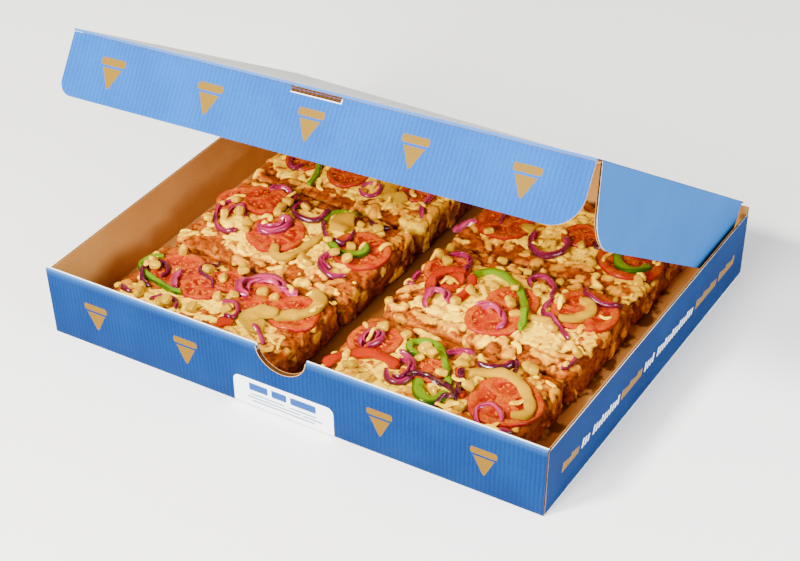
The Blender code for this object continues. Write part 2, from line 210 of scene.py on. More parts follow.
# ---- Tray ----------------------------------------------------------------------
# The bottom of the box: one blank of single-wall corrugated card, printed blue
# outside and bare kraft inside.  Its walls are folded up, the front wall rolls
# over into a double board with a thumb notch, and the side walls end in raw edges.

BOARD = 1.8 * MM
LINER = 0.35 * MM           # each paper skin of the board
GROOVE = 0.8 * MM           # how deep the fluting sits back in a raw edge
FLUTE = 3.2 * MM            # from one flute to the next
PAPER = 0.25 * MM           # the fluted sheet itself
PAPER_EDGE = 0.12 * MM      # how far it stays behind the board's own edge
PRINT, CUT, KRAFT, SHADED_CORE, TOP_PRINT = range(5)


def card_mottle():
    """Card mottle: fine grain, soft clouds and the washboard of the flutes, as a mask and a relief."""
    group = bpy.data.node_groups.new("card_mottle", 'ShaderNodeTree')
    for name, way, kind in (
            ("Across", 'INPUT', 'Float'), ("Place", 'INPUT', 'Vector'), ("Wash", 'INPUT', 'Float'),
            ("Mask", 'OUTPUT', 'Float'), ("Relief", 'OUTPUT', 'Float')):
        group.interface.new_socket(name, in_out=way, socket_type='NodeSocket' + kind)
    nodes = Nodes(group)
    given, result = nodes.add('NodeGroupInput').outputs, nodes.add('NodeGroupOutput').inputs
    wander, grain, cloud = (nodes.noise(size, detail, rough, given["Place"]) for size, detail, rough in (
        (1 / 60, 2, 0.5), (1 / 900, 3, 0.7), (1 / 26, 3, 0.5)))
    turns = nodes.math('MULTIPLY', given["Across"], 2 * math.pi / FLUTE)
    wave = nodes.math('MULTIPLY', nodes.math('SINE', nodes.plus(turns, wander, 3.0)), given["Wash"])
    mask = nodes.plus(nodes.math('MULTIPLY', grain, 0.55), cloud, 0.45)
    group.links.new(nodes.plus(mask, nodes.math('MULTIPLY', wave, wander), 0.16), result["Mask"])
    group.links.new(nodes.plus(nodes.math('MULTIPLY', grain, 0.35), wave, 0.16), result["Relief"])
    return group


MOTTLE = card_mottle()
# where the floor is soaked: along which way, about which middle, and how far from it
SOAKED = ("X", -4.5 * MM, 168 * MM), ("Y", 2 * MM, 146 * MM)
SOAK_FRAY = 9 * MM          # how far its edge wanders in or out, in waves about the next size long
SOAK_WAVE = 20 * MM


def greasy(finish):
    """Where the card has soaked up fat: under the pizza and a little way out from it, on the floor only."""
    place = finish.add('ShaderNodeSeparateXYZ', {"Vector": finish.place()})
    past = []
    for axis, middle, reach in SOAKED:
        off = finish.math('ABSOLUTE', finish.math('SUBTRACT', place.outputs[axis], middle))
        past.append(finish.math('SUBTRACT', off, reach))
    uneven = finish.span(finish.noise(SOAK_WAVE), 0.3, 0.7, SOAK_FRAY, -SOAK_FRAY)
    soaked = finish.span(finish.math('ADD', finish.math('MAXIMUM', *past), uneven), -2 * MM, 3 * MM, 1, 0)
    return finish.math('MULTIPLY', soaked, finish.span(place.outputs["Z"], 4 * MM, 8 * MM, 1, 0))


def card(name, dark, light, crease_wear_and_sheen_colour, rough=0.62, wash=1.0, fat=None):
    """A card finish between two colours of the mottle, a lighter one where creased, partly wear and partly a
    painted highlight on the rounded folds, with so much washboard.
    """
    finish = Finish(name, Roughness=rough, Specular_IOR_Level=0.04)
    mottle = finish.add('ShaderNodeGroup', node_tree=MOTTLE)
    mottle.inputs["Wash"].default_value = wash
    finish.tree.links.new(finish.mark("run"), mottle.inputs["Across"])
    finish.tree.links.new(finish.place(), mottle.inputs["Place"])
    colour = finish.fade(mottle.outputs["Mask"], 0.30, 0.72, dark, light)
    # where the crease mark is set the card turns lighter: crease wear together with a painted highlight on
    # rolled and folded edges
    colour = finish.mix(finish.mark("crease"), colour, crease_wear_and_sheen_colour)
    if fat:
        colour = finish.mix(greasy(finish), colour, fat)
    finish.feed("Base Color", colour)
    finish.bump(mottle.outputs["Relief"], 0.10 * MM, 0.5)
    return finish.material


blue_card = card("printed_blue_card", (0.001, 0.015, 0.076), (0.002, 0.027, 0.115), (0.033, 0.115, 0.300))
cut_paper = card("cut_white_paper", (0.62, 0.58, 0.52), (0.82, 0.80, 0.76), (0.9, 0.9, 0.88))
kraft_card = card("bare_kraft_card", (0.430, 0.195, 0.045), (0.530, 0.262, 0.075), (0.500, 0.245, 0.075),
                  0.8, 0.25, (0.120, 0.040, 0.006))
# the board's core: kraft fluting drawn nearly black as painted shade in the recess between the liners; the
# ribbons, marked as creased, come a little lighter
fluting = card("kraft_fluting_in_painted_shade", (0.030, 0.011, 0.003), (0.075, 0.030, 0.009), (0.055, 0.021, 0.006), 0.9)
white_card = card("printed_white_card", (0.76, 0.77, 0.78), (0.84, 0.85, 0.86), (0.88, 0.88, 0.88))
CARD_FINISHES = [blue_card, cut_paper, kraft_card, fluting, white_card]


def oblong(left, low, right, high):
    """Outline of an oblong panel."""
    return [(left, low), (right, low), (right, high), (left, high)]


def pulled_in(outline, distance):
    """An outline with every side moved inward."""
    following = outline[1:] + outline[:1]
    area = sum(here[0] * after[1] - after[0] * here[1] for here, after in zip(outline, following))
    hand = 1 if area > 0 else -1
    moved = []
    for before, here, after in zip(outline[-1:] + outline[:-1], outline, following):
        a, b = (Vector(here) - Vector(before)).normalized(), (Vector(after) - Vector(here)).normalized()
        one, two = Vector((-a.y, a.x)) * hand, Vector((-b.y, b.x)) * hand
        middle = one + two
        scale = distance / max(0.35, 1 + one.dot(two))
        moved.append((here[0] + middle.x * scale, here[1] + middle.y * scale))
    return moved


def bar_faces(starts, around):
    """Faces of a closed bar, given the first point of each ring around it: its sides, then its two ends."""
    sides = [(one + k, one + (k + 1) % around, two + (k + 1) % around, two + k)
             for one, two in zip(starts, starts[1:]) for k in range(around)]
    return sides + [tuple(starts[0] + k for k in reversed(range(around))),
                    tuple(starts[-1] + k for k in range(around))]


class Blank:
    """Collects the closed sheets of a folded card blank into one mesh."""

    def __init__(self):
        self.points, self.faces, self.kinds, self.run, self.crease = [], [], [], [], []

    def add(self, points, run, crease=0.0):
        start = len(self.points)
        self.points += [Vector(point) for point in points]
        self.run += list(np.broadcast_to(run, len(points)))
        self.crease += list(np.broadcast_to(crease, len(points)))
        return start

    def face(self, indices, kind):
        self.faces.append(tuple(indices))
        self.kinds.append(kind)

    def sheet(self, outline, place, near, far, kinds):
        """A closed flat sheet between two depths; kinds are for its near face, far face and rim."""
        count = len(outline)
        runs = [u for u, v in outline]
        one = self.add([place(u, v, near) for u, v in outline], runs)
        two = self.add([place(u, v, far) for u, v in outline], runs)
        self.face([one + i for i in range(count)], kinds[0])
        self.face([two + i for i in reversed(range(count))], kinds[1])
        for i in range(count):
            j = (i + 1) % count
            self.face((one + j, one + i, two + i, two + j), kinds[2])

    def board(self, outline, place, outside=PRINT):
        """Corrugated board: two liners with the core set back from the edges between them, the core drawn
        dark as painted shade.
        """
        self.sheet(outline, place, 0, LINER, (outside, KRAFT, CUT))
        self.sheet(outline, place, BOARD - LINER, BOARD, (KRAFT, KRAFT, KRAFT))
        self.sheet(pulled_in(outline, GROOVE), place, LINER, BOARD - LINER, (SHADED_CORE, SHADED_CORE, SHADED_CORE))

    def flutes(self, path, place, inward, middle=BOARD / 2, reach=GROOVE, swing=0.42 * MM):
        """The fluted sheet seen in a raw edge: a closed wavy ribbon along a path in the board's plane."""
        lengths = np.cumsum([0] + [math.dist(a, b) for a, b in zip(path, path[1:])])
        stations = np.arange(0, lengths[-1], FLUTE / 8)
        us = np.interp(stations, lengths, [point[0] for point in path])
        vs = np.interp(stations, lengths, [point[1] for point in path])
        rows = []
        for s, u, v in zip(stations, us, vs):
            du, dv = inward(u, v)
            depth = middle + swing * math.sin(2 * math.pi * s / FLUTE)
            ring = [(PAPER_EDGE, depth - PAPER / 2), (PAPER_EDGE, depth + PAPER / 2),
                    (reach, depth + PAPER / 2), (reach, depth - PAPER / 2)]
            rows.append(self.add([place(u + du * away, v + dv * away, deep) for away, deep in ring], u, 0.8))
        for face in bar_faces(rows, len(ring)):
            self.face(face, SHADED_CORE)

    def swept(self, rings, kinds, ends, run, crease):
        """A closed bar through rings of equal count; kinds is a function of station and side."""
        starts = [self.add(ring, run(i), crease) for i, ring in enumerate(rings)]
        count = len(rings[0])
        papers = [kinds(i, k) for i in range(len(rings) - 1) for k in range(count)] + [ends, ends]
        for face, paper in zip(bar_faces(starts, count), papers):
            self.face(face, paper)

    def piece(self, name, body, finishes=CARD_FINISHES):
        return turn_outward(add_piece(name, self.points, self.faces, finishes, body, self.kinds,
                                      {"run": self.run, "crease": self.crease}))


SHARP_FROM = math.radians(35)


def turn_outward(piece):
    """Faces of every closed part turned outward, and soft shading where the angle is slight."""
    form = bmesh.new()
    form.from_mesh(piece.data)
    bmesh.ops.recalc_face_normals(form, faces=form.faces)
    form.to_mesh(piece.data)
    form.free()
    piece.data.set_sharp_from_angle(angle=SHARP_FROM)
    return piece


TRAY_LOW, TRAY_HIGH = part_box("tray")
FRONT = TRAY_LOW.y + 0.06 * MM
BACK = TRAY_HIGH.y - 0.06 * MM
WALL_LEAN = 2 * MM
SIDE_HEIGHT = 53.5 * MM
FRONT_HEIGHT = 56 * MM
BACK_HEIGHT = TRAY_HIGH.z
FRONT_WALL = 3.74 * MM
NOTCH_HALF_WIDTH = 20.5 * MM
NOTCH_DEPTH = 18.5 * MM
HALF_WIDTH = TRAY_HIGH.x - WALL_LEAN * BACK_HEIGHT / SIDE_HEIGHT - 0.06 * MM   # at the table
WALL_END = 0.15 * MM        # how far the front and back walls stop short of the corners


def half_width(z):
    """Half the tray's width at a height, its side walls leaning out."""
    return HALF_WIDTH + WALL_LEAN * z / SIDE_HEIGHT


def notch_floor(x):
    """Height left in the front wall at a distance from its middle."""
    if abs(x) >= NOTCH_HALF_WIDTH:
        return 1.0
    return FRONT_HEIGHT - NOTCH_DEPTH * math.sqrt(1 - (x / NOTCH_HALF_WIDTH) ** 2)


tray = Blank()

# floor panel
floor = oblong(-HALF_WIDTH, FRONT + 0.5 * MM, HALF_WIDTH, BACK - 0.2 * MM)
tray.board(floor, lambda u, v, depth: (u, v, depth))

# front wall: the section of the rolled board, carried along the wall and cut down at the notch
ROLL = FRONT_WALL / 2
section = [(FRONT + 0.6 * MM, 0), (FRONT, 0.9 * MM), (FRONT, 20 * MM), (FRONT, 40 * MM), (FRONT, 50 * MM)]
section += [(FRONT + ROLL - ROLL * math.cos(t), FRONT_HEIGHT - ROLL + ROLL * math.sin(t))
            for t in np.linspace(0, math.pi, 11)]
section += [(FRONT + FRONT_WALL, 40 * MM), (FRONT + FRONT_WALL, 20 * MM), (FRONT + FRONT_WALL, BOARD)]
ROLL_START, ROLL_END = 5, 15
# the crease mark peaks on the roll's crown: a painted highlight along the rolled top edge
crease = [0.0] * len(section)
for k in range(ROLL_START, ROLL_END + 1):
    crease[k] = 0.25 + 0.75 * math.sin(math.pi * (k - ROLL_START) / (ROLL_END - ROLL_START))
stations = sorted(set(np.linspace(-1, -0.11, 50)) | set(np.linspace(0.11, 1, 50))
                  | set(np.linspace(-NOTCH_HALF_WIDTH, NOTCH_HALF_WIDTH, 45) / HALF_WIDTH)
                  | {-NOTCH_HALF_WIDTH / HALF_WIDTH - 1e-5, NOTCH_HALF_WIDTH / HALF_WIDTH + 1e-5})
rings, floors = [], []
for t in stations:
    x = t * HALF_WIDTH
    floors.append(notch_floor(x))
    rings.append([(t * (half_width(z) - WALL_END), y, min(z, notch_floor(x))) for y, z in section])


def front_kind(i, k):
    """Which paper a face of the front wall shows."""
    cut = min(floors[i], floors[i + 1]) < FRONT_HEIGHT - ROLL and ROLL_START - 1 <= k <= ROLL_END
    if cut and all(section[m % len(section)][1] > max(floors[i], floors[i + 1]) - 1e-9 for m in (k, k + 1)):
        return SHADED_CORE
    if ROLL_START + 4 <= k <= ROLL_START + 7:
        return CUT
    return PRINT


tray.swept(rings, front_kind, SHADED_CORE, lambda i: stations[i] * HALF_WIDTH, crease)

# the fluting and liners that show in the notch's cut edge; the cut face and fluting are drawn dark as painted
# shade
rim = [(x, notch_floor(x)) for x in np.linspace(-NOTCH_HALF_WIDTH * 0.995, NOTCH_HALF_WIDTH * 0.995, 60)]
on_front = lambda u, v, depth: (u, FRONT + depth, v)
into_notch = lambda u, v: Vector((-u, FRONT_HEIGHT - v)).normalized()
LIP = 0.3 * MM              # how far the papers reach either way from the cut
for middle in (BOARD / 2, FRONT_WALL - BOARD / 2):
    tray.flutes(rim, on_front, into_notch, middle, LIP)
for near, far, kind in ((0.02 * MM, 0.15 * MM, KRAFT), (ROLL - LIP, ROLL + LIP, SHADED_CORE),
                        (FRONT_WALL - 0.15 * MM, FRONT_WALL - 0.02 * MM, KRAFT)):
    lips = []
    for u, v in rim:
        du, dv = into_notch(u, v) * LIP
        lips.append([(u - du, FRONT + near, v - dv), (u - du, FRONT + far, v - dv),
                     (u + du, FRONT + far, v + dv), (u + du, FRONT + near, v + dv)])
    tray.swept(lips, lambda i, k, kind=kind: kind, kind, lambda i: 0.0, 0.3)

# back wall, up to the lid's crease
fold = [(BACK - 0.2 * MM, 0.3 * MM), (BACK, 1.2 * MM), (BACK, 30 * MM), (BACK, BACK_HEIGHT - 1.6 * MM),
        (BACK - 0.3 * MM, BACK_HEIGHT - 0.5 * MM), (BACK - 0.9 * MM, BACK_HEIGHT),
        (BACK - BOARD, BACK_HEIGHT), (BACK - BOARD, 30 * MM), (BACK - BOARD, BOARD)]
rings = [[(t * (half_width(z) - WALL_END), y, z) for y, z in fold] for t in np.linspace(-1, 1, 21)]
# the crease mark lightens the rounded top of the fold: wear with a painted highlight
tray.swept(rings, lambda i, k: KRAFT if k >= 5 else PRINT, SHADED_CORE, lambda i: HALF_WIDTH * (i / 10 - 1),
           [0, 0, 0, 0.3, 0.9, 0.9, 0.2, 0, 0])

# side walls, single boards with a raw top edge
side_outline = oblong(FRONT + 2.2 * MM, 0.3 * MM, BACK, SIDE_HEIGHT)
for hand in (-1, 1):
    on_side = lambda u, v, depth, hand=hand: (hand * (half_width(v) - depth), u, v)
    tray.board(side_outline, on_side)
    raw_edge = [(FRONT + 5 * MM, SIDE_HEIGHT), (BACK - 2.5 * MM, SIDE_HEIGHT)]
    tray.flutes(raw_edge, on_side, lambda u, v: (0, -1))

card_tray = tray.piece("card_tray", "box")
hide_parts("tray")

# ---- Print on the tray ---------------------------------------------------------
# Flat fields of ink on the outside of the walls: a gold wedge mark four times along
# the front, a white care label below the notch, and slanted strokes on the right.

INK = 0.05 * MM             # how far a field of ink stands proud
INK_ROOT = 0.1 * MM         # and how far its rim goes down into the card


def ink(name, colour):
    """Flat ink that lets a little of the card's grain through."""
    finish = Finish(name, Roughness=0.55, Specular_IOR_Level=0.1)
    grain = finish.noise(1.1 * MM, 3, 0.7)
    darker = tuple(value * 0.82 for value in colour)
    finish.feed("Base Color", finish.fade(grain, 0.3, 0.7, darker, colour))
    finish.bump(grain, 0.05 * MM, 0.4)
    return finish.material


gold_ink = ink("gold_ink", (0.140, 0.069, 0.001))
white_ink = ink("white_ink", (0.80, 0.82, 0.84))
navy_ink = ink("blue_ink", (0.006, 0.049, 0.200))
grey_ink = ink("grey_ink", (0.163, 0.215, 0.311))


def arc(centre, radius, start, stop, steps=6):
    """Points of a circular arc, angles in degrees."""
    return [(centre[0] + radius * math.cos(math.radians(t)), centre[1] + radius * math.sin(math.radians(t)))
            for t in np.linspace(start, stop, steps + 1)]


def rounded_bar(left, low, right, high, radius):
    """A bar with rounded corners."""
    corners = ((left + radius, low + radius), (right - radius, low + radius),
               (right - radius, high - radius), (left + radius, high - radius))
    return [point for corner, start in zip(corners, (180, 270, 0, 90))
            for point in arc(corner, radius, start, start + 90, 3)]


def wedge_mark(x, z):
    """The gold mark: a crust bar over a pointed wedge, about 20 mm high."""
    crust = rounded_bar(-10 * MM, 5.2 * MM, 10 * MM, 10.5 * MM, 1.6 * MM)
    wedge = [(u * MM, v * MM) for u, v in ((-8.6, 3.6), (-7.6, 3.0), (-1.0, -10.2), (0, -10.8), (1.0, -10.2),
                                           (7.6, 3.0), (8.6, 3.6))]
    return [[(x + u, z + v) for u, v in shape] for shape in (crust, wedge)]


def printed(name, shapes, place, material, body):
    """Closed ink fields, a twentieth of a millimetre proud of the card."""
    points, faces = [], []
    for shape in shapes:
        start, count = len(points), len(shape)
        points += [place(u, v, depth) for depth in (-INK, INK_ROOT) for u, v in shape]
        faces.append([start + i for i in range(count)])
        faces.append([start + count + i for i in reversed(range(count))])
        faces += [(start + (i + 1) % count, start + i, start + count + i, start + count + (i + 1) % count)
                  for i in range(count)]
    return turn_outward(add_piece(name, points, faces, material, body))


MARK_PLACES = (-160 * MM, -81 * MM, 78 * MM, 157 * MM)
MARK_HEIGHT = 27 * MM
marks = [shape for x in MARK_PLACES for shape in wedge_mark(x, MARK_HEIGHT)]
printed("front_gold_marks", marks, on_front, gold_ink, "box")

LABEL_HALF_WIDTH = 41 * MM
LABEL_HEIGHT = 24 * MM
LABEL_FOOT = 1.0 * MM
LABEL_RADIUS = 5 * MM
HEADING_FOOT, HEADING_TOP = 14.4 * MM, 20.6 * MM
# in millimetres: the heading bars' left and right ends, and the small bars' middle, half length and foot
HEADING_BARS = ((-28, -12.5), (-9.5, 3), (6, 27))
SMALL_BARS = ((-13, 14, 10.4), (16, 11, 10.4), (-8, 22, 7.6), (24, 8, 7.6), (0, 26, 4.8))
SMALL_BAR_HEIGHT = 1.3
label = [(-LABEL_HALF_WIDTH, LABEL_FOOT), (LABEL_HALF_WIDTH, LABEL_FOOT)]
label += arc((LABEL_HALF_WIDTH - LABEL_RADIUS, LABEL_HEIGHT - LABEL_RADIUS), LABEL_RADIUS, 0, 90)
label += arc((LABEL_RADIUS - LABEL_HALF_WIDTH, LABEL_HEIGHT - LABEL_RADIUS), LABEL_RADIUS, 90, 180)
printed("care_label", [label], on_front, white_ink, "box")

on_label = lambda u, v, depth: (u, FRONT + depth - 0.008 * MM, v)
heads = [rounded_bar(left * MM, HEADING_FOOT, right * MM, HEADING_TOP, 0.9 * MM)
         for left, right in HEADING_BARS]
printed("label_heading_bars", heads, on_label, navy_ink, "box")
lines = [rounded_bar((middle - reach) * MM, low * MM, (middle + reach) * MM, (low + SMALL_BAR_HEIGHT) * MM,
                     0.5 * MM) for middle, reach, low in SMALL_BARS]
printed("label_small_bars", lines, on_label, grey_ink, "box")

bright_gold_ink = ink("bright_gold_ink", (0.250, 0.130, 0.001))
STROKE_HEIGHT = 7.0 * MM
STROKE_PITCH = 4.0 * MM
STROKE_MIDDLE = 24 * MM
STROKE_LEAN = 1.8 * MM
STROKE_STEP = 0.9 * MM      # by which some strokes are lower than others
on_right = lambda u, v, depth: (half_width(v) - depth, u, v)
for name, material, width, words in (
        ("side_gold_strokes", bright_gold_ink, 3.1 * MM, ((-135, 6), (-49, 8), (71, 9), (111, 7))),
        ("side_white_strokes", white_ink, 2.1 * MM, ((-107, 3), (-91, 10), (-13, 4), (7, 15)))):
    strokes = []
    for start, count in words:
        for i in range(count):
            left, low = start * MM + i * STROKE_PITCH, STROKE_MIDDLE - STROKE_HEIGHT / 2
            high = STROKE_MIDDLE + STROKE_HEIGHT / 2 - (i * 7 % 3) * STROKE_STEP
            strokes.append([(left, low), (left + width, low), (left + width + STROKE_LEAN, high),
                            (left + STROKE_LEAN, high)])
    printed(name, strokes, on_right, material, "box")

# ---- Lid -------------------------------------------------------------------------
# The same blank's top panel, creased to the back wall and standing part open, with
# a little twist in the card.  Two side flaps are folded down from it; it is printed
# white above and blue on the flaps, a blue drawn paler than the tray's as painted
# light, and its inside is bare kraft.

hinge = next(joint for joint in frame["joints"] if joint["name"] == "lid_hinge")
HINGE = Vector(hinge["pos_m"])
LID_ANGLE = math.radians(33.1)
LID_LENGTH = 305.4 * MM
LID_HALF_WIDTH = 197.95 * MM
LID_WARP = 6.6 * MM         # how far the twist lifts its front right corner and lowers the left one
LID_BOW = 0.5 * MM          # how far its middle stands up
LID_LIFT = 0.3 * MM
LEFT_FLAP_DROP = 48 * MM
RIGHT_FLAP_DROP = 54.4 * MM
FLAP_FRONT = 297 * MM
FLAP_REAR = 4 * MM
FLAP_RADIUS = 42 * MM
FLAP_SLANT = math.radians(26.6)
HEM_CLEAR = 6 * MM          # straight hem kept beside a rounded corner
LID_TOP = LID_LIFT + BOARD
LID_FACE = LID_TOP - 0.04 * MM  # the white printed face

opened = Matrix.Translation(HINGE) @ Matrix.Rotation(-LID_ANGLE, 4, 'X')


def on_lid(x, along, level):
    """A place on the lid: across, out from the hinge line, and up from the panel, with the card's twist."""
    out, side = along / LID_LENGTH, x / LID_HALF_WIDTH
    bow = LID_BOW * math.sin(math.pi * min(max(out, 0), 1)) * math.cos(0.5 * math.pi * side)
    return opened @ Vector((x, -along, level + LID_WARP * out * side + bow))


# the tray's blue print in paler copies for the lid's edge and tuck flap and for its side flaps: painted
# light, drawn where these faces look brighter than the walls
lid_blue_card_painted_lighter = card("printed_blue_card_painted_lighter_for_lid", (0.002, 0.051, 0.226), (0.003, 0.076, 0.302),
                      (0.105, 0.270, 0.560))
flap_blue_card_painted_lighter = card("printed_blue_card_painted_lighter_for_flaps", (0.011, 0.088, 0.290), (0.016, 0.112, 0.352),
                      (0.119, 0.296, 0.593))
LID_FINISHES = [lid_blue_card_painted_lighter, *CARD_FINISHES[1:], flap_blue_card_painted_lighter]
SIDE_PRINT_PAINTED_LIGHTER = len(CARD_FINISHES)
lid = Blank()

# top panel: two liners and the core between them, in a grid that takes the twist
across = np.linspace(-LID_HALF_WIDTH, LID_HALF_WIDTH, 29)
outward = np.linspace(LID_LIFT, LID_LENGTH, 23)


def lid_layer(low, high, inset, kinds):
    """One closed sheet of the top panel between two levels."""
    xs = np.clip(across, -LID_HALF_WIDTH + inset, LID_HALF_WIDTH - inset)
    ys = np.clip(outward, LID_LIFT + inset, LID_LENGTH)
    count = len(xs)
    starts = []
    for level in (low, high):
        spots = [(x, y) for y in ys for x in xs]
        fold = [0.25 if y > LID_LENGTH - 1 * MM else 0.0 for x, y in spots]
        starts.append(lid.add([on_lid(x, y, level) for x, y in spots], [x for x, y in spots], fold))
    for start, kind in zip(starts, kinds):
        for j in range(len(ys) - 1):
            for i in range(count - 1):
                a = start + j * count + i
                lid.face((a, a + 1, a + count + 1, a + count), kind)
    edge = list(range(count)) + [j * count + count - 1 for j in range(1, len(ys))]
    edge += [(len(ys) - 1) * count + i for i in range(count - 2, -1, -1)]
    edge += [j * count for j in range(len(ys) - 2, 0, -1)]
    for a, b in zip(edge, edge[1:] + edge[:1]):
        front = min(a, b) >= (len(ys) - 1) * count
        lid.face((starts[0] + a, starts[0] + b, starts[1] + b, starts[1] + a), PRINT if front else kinds[2])


lid_layer(LID_TOP - LINER, LID_FACE, 0, (KRAFT, TOP_PRINT, PRINT))
lid_layer(LID_LIFT + LINER, LID_TOP - LINER, 0.2 * MM, (SHADED_CORE, SHADED_CORE, SHADED_CORE))
lid_layer(LID_LIFT, LID_LIFT + LINER, 0.1 * MM, (KRAFT, KRAFT, KRAFT))

for hand, drop in ((-1, LEFT_FLAP_DROP), (1, RIGHT_FLAP_DROP)):
    crease_level = LID_TOP - 0.1 * MM
    bottom = LID_TOP - drop
    straight = crease_level - bottom - FLAP_RADIUS * (1 - math.sin(FLAP_SLANT))
    corner = (FLAP_FRONT - straight * math.tan(FLAP_SLANT) - FLAP_RADIUS * math.cos(FLAP_SLANT),
              bottom + FLAP_RADIUS)
    hem = [(FLAP_REAR + 9 * MM, bottom)]
    hem += [(u, bottom) for u in np.linspace(FLAP_REAR + 20 * MM, corner[0] - HEM_CLEAR, 12)]
    hem += arc(corner, FLAP_RADIUS, 270, 360 - math.degrees(FLAP_SLANT), 14)
    outline = [(FLAP_REAR, crease_level), (FLAP_REAR + 2 * MM, bottom + 7 * MM), *hem,
               (FLAP_FRONT, crease_level)]
    on_flap = lambda u, v, depth, hand=hand: on_lid(hand * (LID_HALF_WIDTH - depth), u, v)
    lid.board(outline, on_flap, SIDE_PRINT_PAINTED_LIGHTER)
    lid.flutes(hem, on_flap, lambda u, v, corner=corner: tuple(
        (Vector(corner) - Vector((u, v))).normalized()) if u > corner[0] else (0, 1))

card_lid = lid.piece("card_lid", "lid", LID_FINISHES)
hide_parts("lid")

# thin drawn strokes on the white top, near its front edge
LINE_WIDTH = 0.8 * MM
# each line's two ends and how far it bends between them, in millimetres
GOLD_LINES = (((-150, 296), (-118, 268), 3), ((-112, 300), (-92, 262), -4), ((-30, 300), (30, 287), 5),
              ((60, 299), (104, 276), -6), ((132, 296), (176, 250), 7), ((-176, 240), (-150, 180), 6))
BLUE_LINES = (((-136, 300), (-100, 280), -3), ((-10, 296), (58, 292), -5), ((88, 300), (150, 286), 5),
              ((150, 262), (186, 216), -6), ((-186, 280), (-160, 226), -5))


def brushed(points):
    """Outline of a tapered stroke along a line of points."""
    left, right = [], []
    for i, point in enumerate(points):
        before, after = points[max(i - 1, 0)], points[min(i + 1, len(points) - 1)]
        way = (after - before).normalized()
        reach = LINE_WIDTH / 2 * (0.35 + 0.65 * math.sin(math.pi * i / (len(points) - 1)))
        left.append((point.x - way.y * reach, point.y + way.x * reach))
        right.append((point.x + way.y * reach, point.y - way.x * reach))
    return left + right[::-1]


def curved(start, stop, bend):
    """A gently bent line between two places."""
    side = Vector((start.y - stop.y, stop.x - start.x)).normalized() * bend
    return [start.lerp(stop, t) + side * math.sin(math.pi * t) for t in np.linspace(0, 1, 9)]


on_top = lambda u, v, depth: on_lid(u, v, LID_FACE - depth * 0.6)
for name, lines, material in (("top_gold_strokes", GOLD_LINES, gold_ink),
                              ("top_blue_strokes", BLUE_LINES, navy_ink)):
    shapes = [brushed(curved(Vector(a) * MM, Vector(b) * MM, bend * MM)) for a, b, bend in lines]
    printed(name, shapes, on_top, material, "lid")

# ---- Tuck flap ---------------------------------------------------------------------
# The lid's front flap, creased along the lid's front edge and hanging a few degrees
# outward.  A small lock tab is cut out of its crease and stands proud, showing its kraft
# core, drawn dark as painted shade.

TUCK_CREASE = 305.5 * MM    # out from the lid's hinge
TUCK_TILT = math.radians(3.5)
TUCK_TWIST = math.atan2(LID_WARP, 198 * MM)     # the lid's own, at its front edge
TUCK_HALF_WIDTH = 197.45 * MM
TUCK_LENGTH = 44.35 * MM
TUCK_LEFT_RADIUS = 10 * MM
TUCK_RIGHT_RADIUS = 22 * MM
TAB_HALF_WIDTH = 19.5 * MM
TAB_DROP = 4.4 * MM
TAB_STEP = 1.0 * MM
TAB_BACK = TAB_STEP + 0.3 * MM  # how deep its parts are rooted in the flap
TAB_TOP = -0.2 * MM
CUT_LINE = 0.6 * MM         # width of a white cut line

hung = opened @ Matrix.Translation((0, -TUCK_CREASE, LID_LIFT / 2))
hung = hung @ Matrix.Rotation(-TUCK_TWIST, 4, 'Y') @ Matrix.Rotation(-TUCK_TILT, 4, 'X')


def on_tuck(u, v, depth):
    """A place on the tuck flap: across, up from its crease, and in from its printed face."""
    return hung @ Vector((u, depth + 0.06 * MM, v))


edge, end = TUCK_HALF_WIDTH, -TUCK_LENGTH
hem = arc((-edge + TUCK_LEFT_RADIUS, end + TUCK_LEFT_RADIUS), TUCK_LEFT_RADIUS, 180, 270, 7)
hem += [(u, end) for u in np.linspace(-edge + TUCK_LEFT_RADIUS + HEM_CLEAR,
                                      edge - TUCK_RIGHT_RADIUS - HEM_CLEAR, 14)]
hem += arc((edge - TUCK_RIGHT_RADIUS, end + TUCK_RIGHT_RADIUS), TUCK_RIGHT_RADIUS, 270, 360, 9)
outline = [(edge, -0.15 * MM), (-edge, -0.15 * MM)] + hem

flap = Blank()
flap.board(outline, on_tuck)
flap.flutes(hem[6:-8], on_tuck, lambda u, v: (0, 1))

# lock tab: the tongue's cut edge, a recess that shows the fluting below it, and two white cut lines; the edge
# and the recess are drawn dark as painted shade
raised = lambda u, v, depth: on_tuck(u, v, depth - TAB_STEP + 0.1 * MM)
edge, low = TAB_HALF_WIDTH, -TAB_DROP
for outline, near, kinds in (
        (oblong(-edge, -1.3 * MM, edge, TAB_TOP), 0.25 * MM, (SHADED_CORE, SHADED_CORE, CUT)),
        (oblong(-edge + 0.4 * MM, low + 0.7 * MM, edge - 0.4 * MM, -1.5 * MM), TAB_STEP - 0.22 * MM,
         (SHADED_CORE, SHADED_CORE, SHADED_CORE)),
        (oblong(-edge, low, edge, low + CUT_LINE), TAB_STEP - 0.5 * MM, (CUT, CUT, CUT)),
        (oblong(edge - CUT_LINE, low + CUT_LINE, edge, TAB_TOP), TAB_STEP - 0.5 * MM, (CUT, CUT, CUT))):
    flap.sheet(outline, raised, near, TAB_BACK, kinds)
on_tongue = lambda u, v, depth: on_tuck(u, TAB_TOP - depth, 0.15 * MM - TAB_STEP + v)
flap.flutes([(-edge + 0.6 * MM, 0), (edge - 0.6 * MM, 0)], on_tongue, lambda u, v: (0, 1), 0.55 * MM,
            0.5 * MM, 0.3 * MM)

card_flap = flap.piece("card_tuck_flap", "tuck_flap", LID_FINISHES)
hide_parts("tuck_flap")

